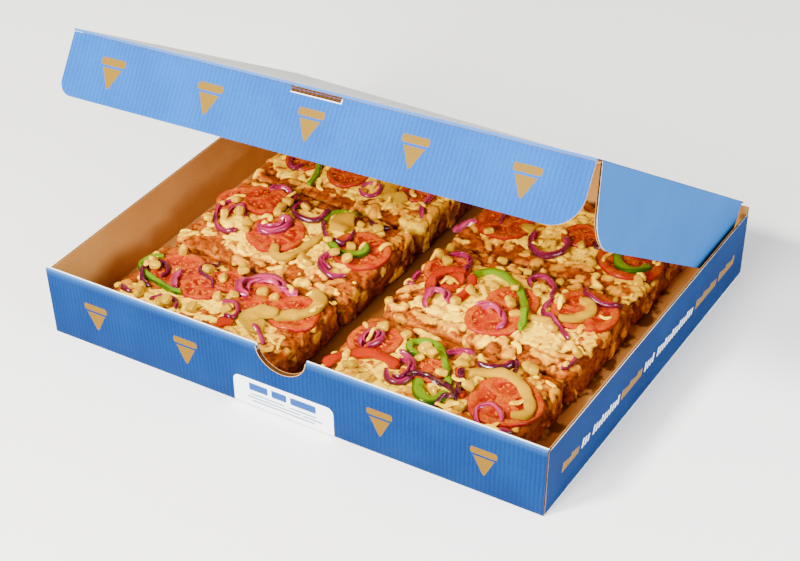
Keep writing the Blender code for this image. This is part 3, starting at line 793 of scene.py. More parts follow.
TUCK_MARKS = (-159 * MM, -79 * MM, 0, 77.5 * MM, 156 * MM)
TUCK_MARK_HEIGHT = -22.5 * MM
marks = [shape for x in TUCK_MARKS for shape in wedge_mark(x, TUCK_MARK_HEIGHT)]
dull_gold_ink = ink("dull_gold_ink", (0.150, 0.080, 0.001))
printed("flap_gold_marks", marks, on_tuck, dull_gold_ink, "tuck_flap")

# ---- Baked slices ------------------------------------------------------------------
# Six oblong slices of deep-pan pizza in two columns, cut where they touch.  The crumb
# is browned and sauced; grated cheese has melted over it in pools and loose strands
# that slump over the shoulders and toast at the edges.

SLICES = {                  # and how much of each top the melted pools cover
    "front_left": 0.08, "front_right": 0.62, "middle_left": 0.70,
    "middle_right": 0.74, "back_left": 1.00, "back_right": 0.80,
}
GRID = 1.0 * MM             # between the points of a slice's surface
CORNER = 20 * MM            # how far in the shoulders reach
CORNER_SQUARE = 0.36        # below 1, squarer in plan than a circle
SLICE_INSET = (0.0, 0.7 * MM)   # how far the crumb stays inside its slice's bounds, across and along
CRUMB_DROP = 1.1 * MM       # and below their top, to leave room for the cheese
# across and down the section of the shoulder and side, from the flat top outward
SIDE_SECTION = ((0, 0), (9, 0), (14, 0.2), (17.2, 0.8), (19, 2.2), (19.8, 4.6), (20, 8), (20, 15),
                (19.8, 20), (19.4, 24), (18.6, 26.6), (17.8, 27.6))
CUT_DROP = (0, 0.1, 0.3, 0.7, 1.7, 3.6, 7, 12.5, 19, 24, 26.6, 27.6)     # squarer, where two slices meet
CRUMBS = 240                # small browned lumps on each slice
NUGGETS = 150               # melted lumps of cheese
STRANDS = 135               # of grated cheese
# the least and most of each one's length, half width and height
CRUMB_SIZES = (2 * MM, 5 * MM), (1.5 * MM, 3.0 * MM), (0.6 * MM, 1.6 * MM)
NUGGET_SIZES = (2 * MM, 8 * MM), (2.6 * MM, 5.2 * MM), (0.8 * MM, 1.8 * MM)
STRAND_SIZES = (7 * MM, 24 * MM), (1.8 * MM, 3.7 * MM), (1.3 * MM, 2.4 * MM)
STRAND_STEP = 1.5 * MM      # from one point of its line to the next


def lumps(x, y, size, seed):
    """Smooth random height from -1 to 1, in lumps about one size across."""
    lattice = np.random.default_rng(seed).uniform(-1, 1, (61, 61))
    u, v = x / size, y / size
    i, j = np.floor(u).astype(int), np.floor(v).astype(int)
    s, t = u - i, v - j
    s, t = s * s * (3 - 2 * s), t * t * (3 - 2 * t)
    pick = lambda a, b: lattice[(i + a) % 61, (j + b) % 61]
    return (pick(0, 0) * (1 - s) + pick(1, 0) * s) * (1 - t) + (pick(0, 1) * (1 - s) + pick(1, 1) * s) * t


def neighbours(grid):
    """A grid's values, and those above, below, left and right of them, its edges repeated."""
    wide = np.pad(grid, 1, mode='edge')
    return [wide[1:-1, 1:-1], wide[:-2, 1:-1], wide[2:, 1:-1], wide[1:-1, :-2], wide[1:-1, 2:]]


def eased(value, low, high):
    """0 below the low value, 1 above the high one, smooth between."""
    t = np.clip((value - low) / (high - low), 0, 1)
    return t * t * (3 - 2 * t)


class BakedSlice:
    """A slice's surface as one sheet laid over it: flat across the top, down the sides and corners."""

    def __init__(self, node, pooled, seed):
        low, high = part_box("slice_" + node)
        self.low, self.high, self.random = low, high, np.random.default_rng(seed)
        self.seed, self.pooled = seed, pooled
        self.cut_sides = (not node.startswith("front"), not node.startswith("back"))
        self.core = [(high[k] - low[k]) / 2 - SLICE_INSET[k] - CORNER for k in (0, 1)]
        self.middle = [(high[k] + low[k]) / 2 for k in (0, 1)]
        self.top = high.z - CRUMB_DROP
        self.section = np.array(SIDE_SECTION) * MM
        self.lengths = np.concatenate([[0], np.cumsum(np.hypot(*np.diff(self.section, axis=0).T))])
        self.reach = self.lengths[-1]
        self.across, self.along = (np.linspace(-core - self.reach, core + self.reach,
                                               int(2 * (core + self.reach) / GRID) + 1) for core in self.core)
        self.sheet_a, self.sheet_b = np.meshgrid(self.across, self.along)
        self.points = self.laid(self.sheet_a, self.sheet_b)
        normal = np.cross(np.gradient(self.points, axis=1), np.gradient(self.points, axis=0))
        self.normals = normal / np.maximum(np.linalg.norm(normal, axis=-1, keepdims=True), 1e-12)
        self.wobble = (0.38 * lumps(self.sheet_a, self.sheet_b, 2.6 * MM, seed + 30)
                       + 0.34 * lumps(self.sheet_a, self.sheet_b, 5 * MM, seed + 31))
        self.rise, self.cheese, self.toast = (np.zeros(self.sheet_a.shape) for _ in range(3))

    def laid(self, a, b):
        """Where a point of the flat sheet comes to lie on the slice."""
        past_a, past_b = np.maximum(np.abs(a) - self.core[0], 0), np.maximum(np.abs(b) - self.core[1], 0)
        far, near = np.maximum(past_a, past_b), np.minimum(past_a, past_b)
        turn = (math.pi / 4) * near / np.maximum(far, 1e-9)
        big, small = np.cos(turn), np.sin(turn)
        way_a, way_b = np.where(past_a >= past_b, big, small), np.where(past_a >= past_b, small, big)
        power = 2 / CORNER_SQUARE
        swell = 1 / np.maximum((way_a ** power + way_b ** power) ** (CORNER_SQUARE / 2), 1e-6)
        distance = np.interp(far, self.lengths, self.section[:, 0]) * swell
        drop = np.interp(far, self.lengths, self.section[:, 1])
        cut = np.interp(far, self.lengths, np.array(CUT_DROP) * MM)
        meets = eased(way_b, 0.6, 0.95) * (((b < 0) & self.cut_sides[0]) | ((b > 0) & self.cut_sides[1]))
        drop = drop + (cut - drop) * meets
        x = np.sign(a) * (np.minimum(np.abs(a), self.core[0]) + distance * way_a * (past_a > 0))
        y = np.sign(b) * (np.minimum(np.abs(b), self.core[1]) + distance * way_b * (past_b > 0))
        return np.stack([x + self.middle[0], y + self.middle[1], self.top - drop], -1)

    def edge_share(self, a, b):
        """0 over the middle of the slice, 1 from its shoulder down."""
        far = np.maximum(np.abs(a) - self.core[0], np.abs(b) - self.core[1])
        return eased(far, -6 * MM, 14 * MM)

    def blob(self, line, width, height, toast, cheesy):
        """One strand or crumb along a line of the flat sheet, lying on what is there already."""
        line = np.asarray(line)
        reach = width * 1.6
        i0, i1 = np.searchsorted(self.across, (line[:, 0].min() - reach, line[:, 0].max() + reach))
        j0, j1 = np.searchsorted(self.along, (line[:, 1].min() - reach, line[:, 1].max() + reach))
        if i1 - i0 < 2 or j1 - j0 < 2:
            return
        window = (slice(j0, j1), slice(i0, i1))
        way = self.laid(*line.T)
        gap = np.min([np.linalg.norm(self.points[window] - point, axis=-1) for point in way], axis=0)
        gap = gap * (1 + self.wobble[window])
        share = np.clip(1 - (gap / width) ** 2, 0, 1)
        hump = height * np.sqrt(share)
        under = self.rise[window]
        close = gap < width * 0.6
        middle = under[close].mean() if close.any() else under.mean()
        lifted = np.where(share > 0, 0.55 * under + 0.45 * middle + hump, under)
        cover = lifted > under
        self.rise[window] = np.maximum(under, lifted)
        edge, scorched = eased(share, 0.0, 0.35), toast + 0.34 * (1 - share)
        cheese, toasted = self.cheese[window], self.toast[window]
        self.cheese[window] = np.where(cover, np.maximum(cheese * (1 - edge), cheesy * edge), cheese)
        self.toast[window] = np.where(cover, toasted * (1 - edge) + scorched * edge, toasted)

    def bake(self):
        """Crumb, pools of cheese, browned crumbs, melted lumps and strands, one over another."""
        edge, pick = self.edge_share(self.sheet_a, self.sheet_b), self.random
        rough = lambda size, layer: lumps(self.sheet_a, self.sheet_b, size * MM, self.seed + layer)
        self.rise += (1.0 * rough(9, 0) + 0.8 * np.abs(rough(5, 1)) + 0.35 * rough(2.1, 2)
                      + 1.3 * edge * rough(6.5, 12)) * MM
        self.toast += 0.16 + 0.25 * rough(12, 3) + 0.60 * edge
        pool = rough(24, 4) + 0.6 * rough(9, 5) + 0.3 * rough(4, 6)
        pool = eased(pool + self.pooled - 1.30 * edge, -0.10, 0.12)
        beads = 0.7 + 1.2 * np.abs(rough(6.5, 7)) ** 0.7 + 0.6 * np.abs(rough(3, 8)) ** 0.7
        self.rise = self.rise * (1 - 0.5 * pool) + pool * beads * MM
        self.cheese = np.maximum(self.cheese, pool)
        self.toast = self.toast * (1 - pool) + pool * (0.06 + 0.2 * rough(7, 9) + 0.25 * edge)
        limit_a, limit_b = (core + 0.80 * self.reach for core in self.core)

        def lay(count, length, width, height, toast, cheesy, wanted):
            """So many bent strands in random places.  Toast holds its middle, its rise to the edge and its
            spread, cheesy the marks to choose from, and wanted how likely one stays at an edge share."""
            for _ in range(count):
                a, b = pick.uniform(-limit_a, limit_a), pick.uniform(-limit_b, limit_b)
                share = float(self.edge_share(a, b))
                if pick.uniform() > wanted(share):
                    continue
                turn, bend = pick.uniform(0, 2 * math.pi), pick.normal(0, 0.16)
                line, spot = [], np.array((a, b))
                for _ in range(max(2, int(pick.uniform(*length) * pick.uniform(0.6, 1) / STRAND_STEP))):
                    line.append(spot.copy())
                    turn += bend * pick.uniform(0.2, 1.8)
                    spot += np.array((math.cos(turn), math.sin(turn))) * STRAND_STEP
                browned = float(np.clip(pick.normal(toast[0] + toast[1] * share, toast[2]), 0.0, 1.0))
                self.blob(line, pick.uniform(*width), pick.uniform(*height), browned, pick.choice(cheesy))

        lay(CRUMBS, *CRUMB_SIZES, (0.2, 0.6, 0.2), (0.0, 0.0, 0.4), lambda share: 0.35 + 0.65 * share)
        lay(NUGGETS, *NUGGET_SIZES, (0.06, 0.42, 0.16), (1.0,),
            lambda share: (0.35 + 0.65 * self.pooled) * (1 - 0.80 * share))
        lay(STRANDS, *STRAND_SIZES, (0.12, 0.38, 0.16), (1.0,),
            lambda share: 0.45 + 0.4 * share if share < 0.97 else 0.20)
        broad = self.rise
        for _ in range(5):
            broad = sum(neighbours(broad)) / 5
        # hollow: how far the surface lies below its smoothed surroundings; the finish darkens it there as
        # painted shade
        self.hollow = eased(broad - self.rise, -0.35 * MM, 0.65 * MM)

    def solid(self):
        """Points and faces of the closed slice, kept inside its own cell of the tray."""
        points = self.points + self.normals * self.rise[..., None]
        for k, spare in ((0, 1.8 * MM), (1, 0.25 * MM)):
            points[..., k] = np.clip(points[..., k], self.low[k] - spare, self.high[k] + spare)
        points[..., 2] = np.clip(points[..., 2], self.low.z - 0.1 * MM, self.high.z + 2.4 * MM)
        rows, columns = self.sheet_a.shape
        flat = points.reshape(-1, 3)
        index = np.arange(rows * columns).reshape(rows, columns)
        quads = np.stack([index[:-1, :-1], index[:-1, 1:], index[1:, 1:], index[1:, :-1]], -1).reshape(-1, 4)
        rim = list(index[0, :]) + list(index[1:, -1]) + list(index[-1, -2::-1]) + list(index[-2:0:-1, 0])
        return flat, [tuple(quad) for quad in quads.tolist()] + [tuple(int(i) for i in reversed(rim))]


def pizza_finish():
    """Sauced crumb under melted cheese: the marks on the mesh say where each is, noise breaks them up, and
    the hollows are darkened as painted shade.
    """
    finish = Finish("baked_cheese_and_crumb", Subsurface_Weight=0.15, Subsurface_Scale=0.004,
                    Subsurface_Radius=(1.0, 0.5, 0.2), Specular_IOR_Level=0.4,
                    Specular_Tint=(1.0, 0.70, 0.08))
    cheese, toast, hollow = (finish.mark(name) for name in ("cheese", "toast", "hollow"))
    fine, speck, patch, cloud, wide = (finish.noise(size * MM, detail, rough) for size, detail, rough in (
        (1.3, 4, 0.6), (2.4, 3, 0.5), (5, 4, 0.6), (11, 3, 0.6), (16, 3, 0.5)))
    sauce = finish.fade(patch, 0.36, 0.62, (0.300, 0.036, 0.001), (0.460, 0.110, 0.001))
    crumb = finish.fade(patch, 0.36, 0.62, (0.140, 0.014, 0.001), (0.330, 0.062, 0.001))
    crumb = finish.fade(fine, 0.52, 0.72, crumb, (0.400, 0.120, 0.001), 0.8)
    crumb = finish.fade(wide, 0.52, 0.72, crumb, (0.160, 0.018, 0.001), 0.8)
    crumb = finish.fade(toast, 0.20, 0.62, sauce, crumb)
    # painted shade: the crumb darkened in the hollows, which also add to the browning
    crumb = finish.fade(hollow, 0.45, 1.0, crumb, (0.040, 0.005, 0.001), 0.85)
    browned = finish.plus(finish.plus(toast, patch, 0.6), hollow, 0.25)
    browned = finish.math('ADD', browned, finish.span(speck, 0.60, 0.74, 0, 0.35))
    cream = finish.fade(fine, 0.38, 0.64, (0.930, 0.570, 0.001), (0.970, 0.670, 0.003))
    cream = finish.fade(cloud, 0.52, 0.68, cream, (0.640, 0.240, 0.001), 0.75)
    tan = finish.fade(browned, 0.55, 0.95, cream, (0.540, 0.215, 0.001))
    brown = finish.fade(browned, 0.95, 1.40, tan, (0.250, 0.065, 0.001))
    # painted shade: the cheese darkened in the hollows
    brown = finish.fade(hollow, 0.52, 0.95, brown, (0.280, 0.072, 0.002), 0.75)
    finish.feed("Base Color", finish.fade(finish.plus(cheese, fine, 0.25), 0.32, 0.62, crumb, brown))
    finish.feed("Roughness", finish.span(finish.plus(patch, cheese, 0.3), 0.3, 0.9, 0.44, 0.20))
    finish.bump(finish.plus(patch, fine, 0.8), 0.6 * MM, 0.8)
    return finish.material


baked = pizza_finish()
tops = []       # the finished slices' points, for laying the toppings on
for order, (node, pooled) in enumerate(SLICES.items()):
    slab = BakedSlice(node, pooled, 100 + 17 * order)
    slab.bake()
    points, faces = slab.solid()
    tops.append(points)
    piece = add_piece("pizza_slice_" + node, points, faces, baked, "box",
                      marks={"cheese": slab.cheese, "toast": slab.toast, "hollow": slab.hollow})
    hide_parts("slice_" + node)

# ---- Tomato slices -----------------------------------------------------------------
# Thin rounds of ripe tomato laid on the cheese before baking: a tight skin, a ring of
# salmon flesh, and seed chambers of wet red jelly between the walls that meet at the core.


class Relief:
    """Height of everything laid so far over the tray, so that the next piece can lie on it."""

    step = 1.0 * MM
    rows, columns = 330, 420

    def __init__(self):
        self.height = np.full((self.rows, self.columns), BOARD)

    def cell(self, x, y):
        """Row and column of a place, the grid being centred on the tray."""
        return tuple(np.clip(np.round(np.asarray(value) / self.step).astype(int) + count // 2, 0, count - 1)
                     for value, count in ((y, self.rows), (x, self.columns)))

    def add(self, points):
        """Takes a new piece's points in, each with a little of the grid around it."""
        points = np.asarray(points)
        for dx, dy in ((0, 0), (0.5, 0), (0, 0.5), (-0.5, 0), (0, -0.5)):
            j, i = self.cell(points[:, 0] + dx * self.step, points[:, 1] + dy * self.step)
            np.maximum.at(self.height, (j, i), points[:, 2])

    def under(self, x, y, reach, soften=2):
        """Height that a limp piece of some width comes to rest on at each place."""
        j, i = self.cell(x, y)
        margin = int(reach / self.step) + soften + 2
        j0, i0 = max(j.min() - margin, 0), max(i.min() - margin, 0)
        local = self.height[j0:j.max() + margin + 1, i0:i.max() + margin + 1]
        for _ in range(max(1, int(round(reach / self.step)))):
            local = np.maximum.reduce(neighbours(local))
        for _ in range(soften):
            here, *around = neighbours(local)
            local = sum(around, here * 2) / 6
        return local[j - j0, i - i0]


relief = Relief()
for points in tops:
    relief.add(points)


def tube_faces(rings, around, start=0):
    """Faces of a closed tube whose points run ring by ring from a first one: its sides, then its two ends."""
    return bar_faces([start + ring * around for ring in range(rings)], around)


TOMATO_THICKNESS = 3.6 * MM
TOMATO_SINK = 2.0 * MM      # settled into the cheese
TOMATO_AROUND = 84          # points on each of its rings
SEED_REACH = (1.5 * MM, 0.9 * MM)       # half a seed's length and width
TOMATO_NODES = ["tomato_%02d" % i for i in range(1, 18)]
# further smaller rounds: their middles and radii, in millimetres
MORE_TOMATOES = ((-101, -80, 14), (79, -97, 14), (-42, 93, 15), (-145, 88, 16), (95, 100, 15))


def resting_plane(x, y, radius):
    """The even slope that a stiff round of some radius rests at."""
    spots = np.array([(x + radius * share * math.cos(t), y + radius * share * math.sin(t))
                      for share in (0.2, 0.5, 0.8) for t in np.linspace(0, 6.2, 12)])
    heights = relief.under(spots[:, 0], spots[:, 1], 1.4 * MM, 6)
    keep = heights > np.median(heights) - 3 * MM
    system = np.column_stack([spots - (x, y), np.ones(len(spots))])[keep]
    slope_x, slope_y, middle = np.linalg.lstsq(system, heights[keep], rcond=None)[0]
    slope_x, slope_y = np.clip((slope_x, slope_y), -0.14, 0.14)
    return lambda px, py: middle + slope_x * (px - x) + slope_y * (py - y)


def tomato_slice(x, y, radius, seed):
    """One round of tomato on the relief: points, faces and marks."""
    pick = np.random.default_rng(seed)
    chambers = int(pick.integers(3, 6))
    phase, oval, lean = pick.uniform(0, 6.28), pick.uniform(0.94, 1.0), pick.uniform(0, 6.28)
    seeds = []
    for k in range(chambers * 7):
        turn = phase + 2 * math.pi * ((k % chambers) + 0.5 + pick.uniform(-0.30, 0.30)) / chambers
        far = pick.uniform(0.34, 0.68) * radius
        seeds.append((far * math.cos(turn), far * math.sin(turn), turn + pick.normal(0, 0.4)))
    level = resting_plane(x, y, radius)
    # out along the underside, round the rim and in over the top: shares of the radius and of the thickness
    rings = [(share, 0.0) for share in np.linspace(0.10, 0.93, 5)] + [(0.985, 0.25), (1.0, 0.6), (0.99, 0.9)]
    rings += [(share, 1.0) for share in np.linspace(0.965, 0.04, max(14, int(radius / (1.05 * MM))))]
    turns = np.linspace(0, 2 * math.pi, TOMATO_AROUND, endpoint=False)
    points, flesh, seed_mark, skin = [], [], [], []
    for share, lift in rings:
        upper = lift > 0.6
        wave = 1 + 0.022 * np.sin(3 * turns + phase) + 0.014 * np.sin(5 * turns + 2 * phase)
        u = radius * share * np.cos(turns) * wave
        v = radius * share * np.sin(turns) * wave * oval
        px = x + (u * math.cos(lean) - v * math.sin(lean))
        py = y + (u * math.sin(lean) + v * math.cos(lean))
        even = level(px, py)
        rest = even + np.clip(0.55 * (relief.under(px, py, 1.4 * MM, 6) - even), -1.0 * MM, 1.6 * MM)
        rest -= TOMATO_SINK
        # 1 on a wall, 0 in the middle of a chamber
        spoke = np.abs((((turns - phase) * chambers / (2 * math.pi)) % 1) - 0.5) * 2
        wall = eased(spoke, 0.60 + 0.2 * share, 0.80 + 0.15 * share)
        chamber = (1 - wall) * eased(share, 0.22, 0.32) * (1 - eased(share, 0.68, 0.78))
        dots = np.zeros(TOMATO_AROUND)
        if upper:
            for su, sv, way in seeds:
                du, dv, ca, sa = u - su, v - sv, math.cos(way), math.sin(way)
                ahead, aside = (du * ca + dv * sa) / SEED_REACH[0], (-du * sa + dv * ca) / SEED_REACH[1]
                dots = np.maximum(dots, np.clip(1 - ahead ** 2 - aside ** 2, 0, 1))
        grain = lumps(u, v, 2.6 * MM, seed)
        top = upper * (0.35 * MM * eased(share, 0.6, 0.9) - 0.85 * MM * chamber + 0.8 * MM * dots
                       + 0.16 * MM * grain - 0.4 * MM * eased(share, 0.9, 1.0))
        points += list(np.stack([px, py, rest + TOMATO_THICKNESS * lift + top], -1))
        flesh += list(np.clip(1 - chamber + 0.15 * grain, 0, 1))
        seed_mark += list(dots)
        skin += [float(eased(share, 0.955, 0.985))] * TOMATO_AROUND
    relief.add(points)
    return points, tube_faces(len(rings), TOMATO_AROUND), {"flesh": flesh, "seed": seed_mark, "skin": skin}


def tomato_finish():
    """Wet tomato: jelly, flesh, seeds and skin from the marks, with fine fibres in the flesh."""
    finish = Finish("ripe_tomato", Subsurface_Weight=0.18, Subsurface_Scale=0.004,
                    Subsurface_Radius=(1.0, 0.25, 0.1), Coat_Weight=0.15, Coat_Roughness=0.06,
                    Specular_IOR_Level=0.4, Specular_Tint=(1.0, 0.50, 0.30))
    fibre, cloud = finish.noise(1.2 * MM, 4, 0.65), finish.noise(7 * MM, 3, 0.5)
    flesh = finish.fade(fibre, 0.38, 0.66, (0.330, 0.030, 0.001), (0.430, 0.105, 0.002))
    flesh = finish.fade(cloud, 0.42, 0.68, flesh, (0.307, 0.009, 0.001))
    jelly = finish.fade(cloud, 0.35, 0.62, (0.185, 0.002, 0.001), (0.310, 0.024, 0.001))
    colour = finish.fade(finish.mark("flesh"), 0.30, 0.75, jelly, flesh)
    colour = finish.fade(finish.mark("seed"), 0.15, 0.6, colour, (0.416, 0.107, 0.003))
    colour = finish.mix(finish.mark("skin"), colour, (0.222, 0.002, 0.001))
    finish.feed("Base Color", colour)
    finish.feed("Roughness", finish.span(fibre, 0.3, 0.7, 0.14, 0.36))
    finish.bump(fibre, 0.5 * MM, 0.8)
    return finish.material


ripe = tomato_finish()
for order, node in enumerate(TOMATO_NODES):
    low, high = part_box(node)
    points, faces, marks = tomato_slice((low.x + high.x) / 2, (low.y + high.y) / 2,
                                        (high.x - low.x + high.y - low.y) / 4, 300 + order)
    piece = turn_outward(add_piece("slice_of_" + node, points, faces, ripe, "box", marks=marks))
    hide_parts(node)
for order, (x, y, radius) in enumerate(MORE_TOMATOES):
    points, faces, marks = tomato_slice(x * MM, y * MM, radius * MM, 340 + order)
    name = "small_tomato_slice_%d" % (order + 1)
    turn_outward(add_piece(name, points, faces, ripe, "box", marks=marks))

# ---- Sweet peppers -----------------------------------------------------------------
# Strips and rings of yellow, green and red pepper: a wall of juicy flesh with a glossy
# skin on its outer side, softened by the oven so that it lies over what is under it.

SINK = 1.3 * MM             # settled into the cheese
SAG = 4.5 * MM              # how far a strip gives way between the heights that hold it
LINE_STEP = 1.5 * MM        # between the points of its middle line
# node: width, thickness and the points of its middle line, in millimetres
YELLOW_PEPPERS = {
    "yellow_pepper_1": (10, 4.5, ((-40, -60), (-29, -66), (-26, -79), (-35, -92), (-47, -101))),
    "yellow_pepper_2": (16, 5, ((-62, -102), (-59, -111), (-52, -116), (-45, -114))),
    "yellow_pepper_3": (18, 5, ((-73, 36), (-69, 26), (-66, 15))),
    "yellow_pepper_4": (7.5, 4, ((-73, 8), (-76, -8), (-77, -23), (-82, -35), (-90, -35), (-96, -25))),
    "yellow_pepper_5": (8, 4.5, ((105, -93), (110, -83), (122, -78), (136, -79), (149, -87), (159, -99),
                                 (160, -108), (152, -113))),
    "yellow_pepper_6": (8, 4.5, ((133, 26), (143, 22), (146, 12), (140, 3), (130, -3))),
    "yellow_pepper_7": (5.5, 4, ((98, -17), (108, -12), (119, -8), (127, -6))),
    "yellow_pepper_8": (12, 4.5, ((-66, 94), (-62, 82), (-57, 72))),
    "yellow_bit_1": (11, 4, ((-52, 79), (-48, 75), (-43, 73))),
    "yellow_bit_2": (10, 4, ((53, 90), (57, 88), (62, 88))),
    "yellow_bit_3": (11, 4, ((-43, -99), (-51, -102), (-59, -105))),
}
GREEN_PEPPERS = {
    "green_pepper_1": (4.5, 4, ((-160, -78), (-168, -82), (-171, -90), (-165, -98), (-150, -104),
                                (-135, -108), (-120, -111))),
    "green_pepper_2": (6, 4.5, ((-62, -3), (-54, -8), (-45, -10), (-36, -6), (-33, 2), (-38, 8))),
    "green_pepper_3": (5, 4.5, ((66, -86), (57, -84), (54, -76), (61, -70), (72, -71), (82, -80),
                                (92, -94), (102, -106))),
    "green_pepper_4": (8, 5, ((81, -112), (85, -121), (94, -126), (102, -122), (103, -114))),
    "green_pepper_5": (6, 4.5, ((53, 13), (54, 22), (62, 27), (74, 25), (88, 16), (98, 4), (106, -8),
                                (111, -20), (113, -28))),
    "green_ring_1": (3.5, 3.5, ((-81, 19), (-84, 28), (-81, 38), (-74, 42), (-65, 40))),
    "green_ring_2": (5, 3.5, ((-131, 88), (-125, 75), (-122, 60))),
    "green_ring_3": (7, 4, ((130, 92), (134, 82), (143, 76), (152, 79), (157, 88))),
}
RED_PEPPERS = {
    "red_pepper_1": (9, 4.5, ((14, -127), (22, -112), (34, -104), (48, -101), (59, -104))),
    "red_pepper_2": (8, 5, ((46, 13), (34, 9), (29, -2), (31, -14), (36, -22))),
    "red_pepper_3": (8, 5, ((52, 11), (57, 2), (58, -9), (55, -18))),
    "red_bit_1": (9, 4, ((-78, -124), (-73, -122), (-67, -121))),
    "red_bit_2": (7, 4, ((97, -86), (105, -98), (114, -112))),
    "red_bit_3": (13, 4, ((45, 7), (43, -2), (42, -11))),
}


def smooth_line(points):
    """Points at an even step along a smooth curve through the given ones, in metres."""
    knots = [np.array(point, float) * MM for point in points]
    knots = [2 * knots[0] - knots[1], *knots, 2 * knots[-1] - knots[-2]]
    fine = []
    for a, b, c, d in zip(knots, knots[1:], knots[2:], knots[3:]):
        for t in np.linspace(0, 1, 12, endpoint=False):
            fine.append(0.5 * (2 * b + (c - a) * t + (2 * a - 5 * b + 4 * c - d) * t * t
                               + (3 * b - a - 3 * c + d) * t ** 3))
    fine = np.array(fine + [knots[-2]])
    lengths = np.concatenate([[0], np.cumsum(np.hypot(*np.diff(fine, axis=0).T))])
    stations = np.linspace(0, lengths[-1], max(5, int(round(lengths[-1] / LINE_STEP)) + 1))
    return np.stack([np.interp(stations, lengths, fine[:, k]) for k in (0, 1)], -1)


def laid_strip(points, width, thickness, seed, around=12, square=0.62, taper=0.45, twist=0.25, hollow=0):
    """A limp strip along a line, lying on the relief: points, faces and the mark of its sides."""
    pick = np.random.default_rng(seed)
    line = smooth_line(points)
    count = len(line)
    ways = np.gradient(line, axis=0)
    ways /= np.linalg.norm(ways, axis=1, keepdims=True)
    turning = np.sum(ways[:-1, 0] * ways[1:, 1] - ways[:-1, 1] * ways[1:, 0])
    outer = -1 if turning > 0 else 1            # +1: the outside of the bend is on the left of the line
    sides = np.stack([-ways[:, 1], ways[:, 0]], -1) * outer
    rest = np.max([relief.under(line[:, 0] + sides[:, 0] * off, line[:, 1] + sides[:, 1] * off, 1.0 * MM)
                   for off in (-0.3 * width, 0, 0.3 * width)], axis=0)
    for _ in range(3):
        rest = np.convolve(np.pad(rest, 2, mode='edge'), (0.1, 0.22, 0.36, 0.22, 0.1), 'valid')
    rest = np.maximum(rest, np.sort(rest)[int(0.7 * count)] - SAG) - SINK
    phase = pick.uniform(0, 6.28)
    points, side_mark = [], []
    for i in range(count):
        from_end = min(i, count - 1 - i)
        full = taper + (1 - taper) * math.sqrt(min(1, (from_end + 0.15) / 2.2))
        wide = width * full * (1 + 0.09 * math.sin(0.7 * i + phase))
        thick = thickness * (0.35 + 0.65 * full) * (1 + 0.08 * math.sin(0.9 * i + 2 * phase))
        roll = twist * math.sin(0.33 * i + phase)
        for k in range(around):
            t = 2 * math.pi * k / around
            a = 0.5 * wide * math.copysign(abs(math.cos(t)) ** square, math.cos(t))
            b = 0.5 * thick * math.copysign(abs(math.sin(t)) ** square, math.sin(t))
            side_mark.append(2 * a / wide)
            a += hollow * wide * (1 - (2 * b / thick) ** 2) * (a < 0)
            a, b = a * math.cos(roll) - b * math.sin(roll), a * math.sin(roll) + b * math.cos(roll)
            points.append((*(line[i] + sides[i] * a), rest[i] + 0.5 * thickness + b))
    relief.add(points)
    return points, tube_faces(count, around), {"side": side_mark}


def pepper_finish(name, skin, flesh, blush):
    """Glossy skin on the outside of the bend, paler flesh inside it, scorched a little here and there."""
    finish = Finish(name, Subsurface_Weight=0.15, Subsurface_Scale=0.004, Subsurface_Radius=(1.0, 0.7, 0.15),
                    Specular_IOR_Level=0.5, Specular_Tint=[(value / max(flesh)) ** 0.5 for value in flesh])
    cloud, fine = finish.noise(6 * MM, 3, 0.5), finish.noise(1.4 * MM, 3, 0.6)
    pale = finish.fade(fine, 0.35, 0.65, flesh, tuple(value * 1.2 for value in flesh))
    colour = finish.fade(finish.mark("side"), 0.35, 0.92, pale, skin)
    colour = finish.fade(cloud, 0.58, 0.74, colour, blush, 0.8)
    finish.feed("Base Color", colour)
    finish.feed("Roughness", finish.span(cloud, 0.3, 0.7, 0.10, 0.24))
    finish.bump(fine, 0.25 * MM, 0.4)
    return finish.material


for slot, strips, *colours in (     # skin, flesh and blush
        ("yellow_pepper", YELLOW_PEPPERS, (0.310, 0.164, 0), (0.375, 0.199, 0), (0.440, 0.234, 0)),
        ("green_pepper", GREEN_PEPPERS, (0.015, 0.053, 0.001), (0.088, 0.166, 0.001), (0.049, 0.108, 0.001)),
        ("red_pepper", RED_PEPPERS, (0.151, 0.001, 0.001), (0.239, 0.014, 0.001), (0.193, 0.002, 0.001))):
    material = pepper_finish("baked_" + slot, *colours)
    for order, (node, (width, thickness, points)) in enumerate(strips.items()):
        points, faces, marks = laid_strip(points, width * MM, thickness * MM, 400 + order)
        piece = turn_outward(add_piece("strip_of_" + node, points, faces, material, "box", marks=marks))
        if node in frame["nodes"]:
            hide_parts(node)

# ---- Red onion ---------------------------------------------------------------------
# Arcs and rings of red onion, thin translucent leaves with magenta skin: pink where they
# have softened, and dark and nearly burnt where they stood up to the heat.

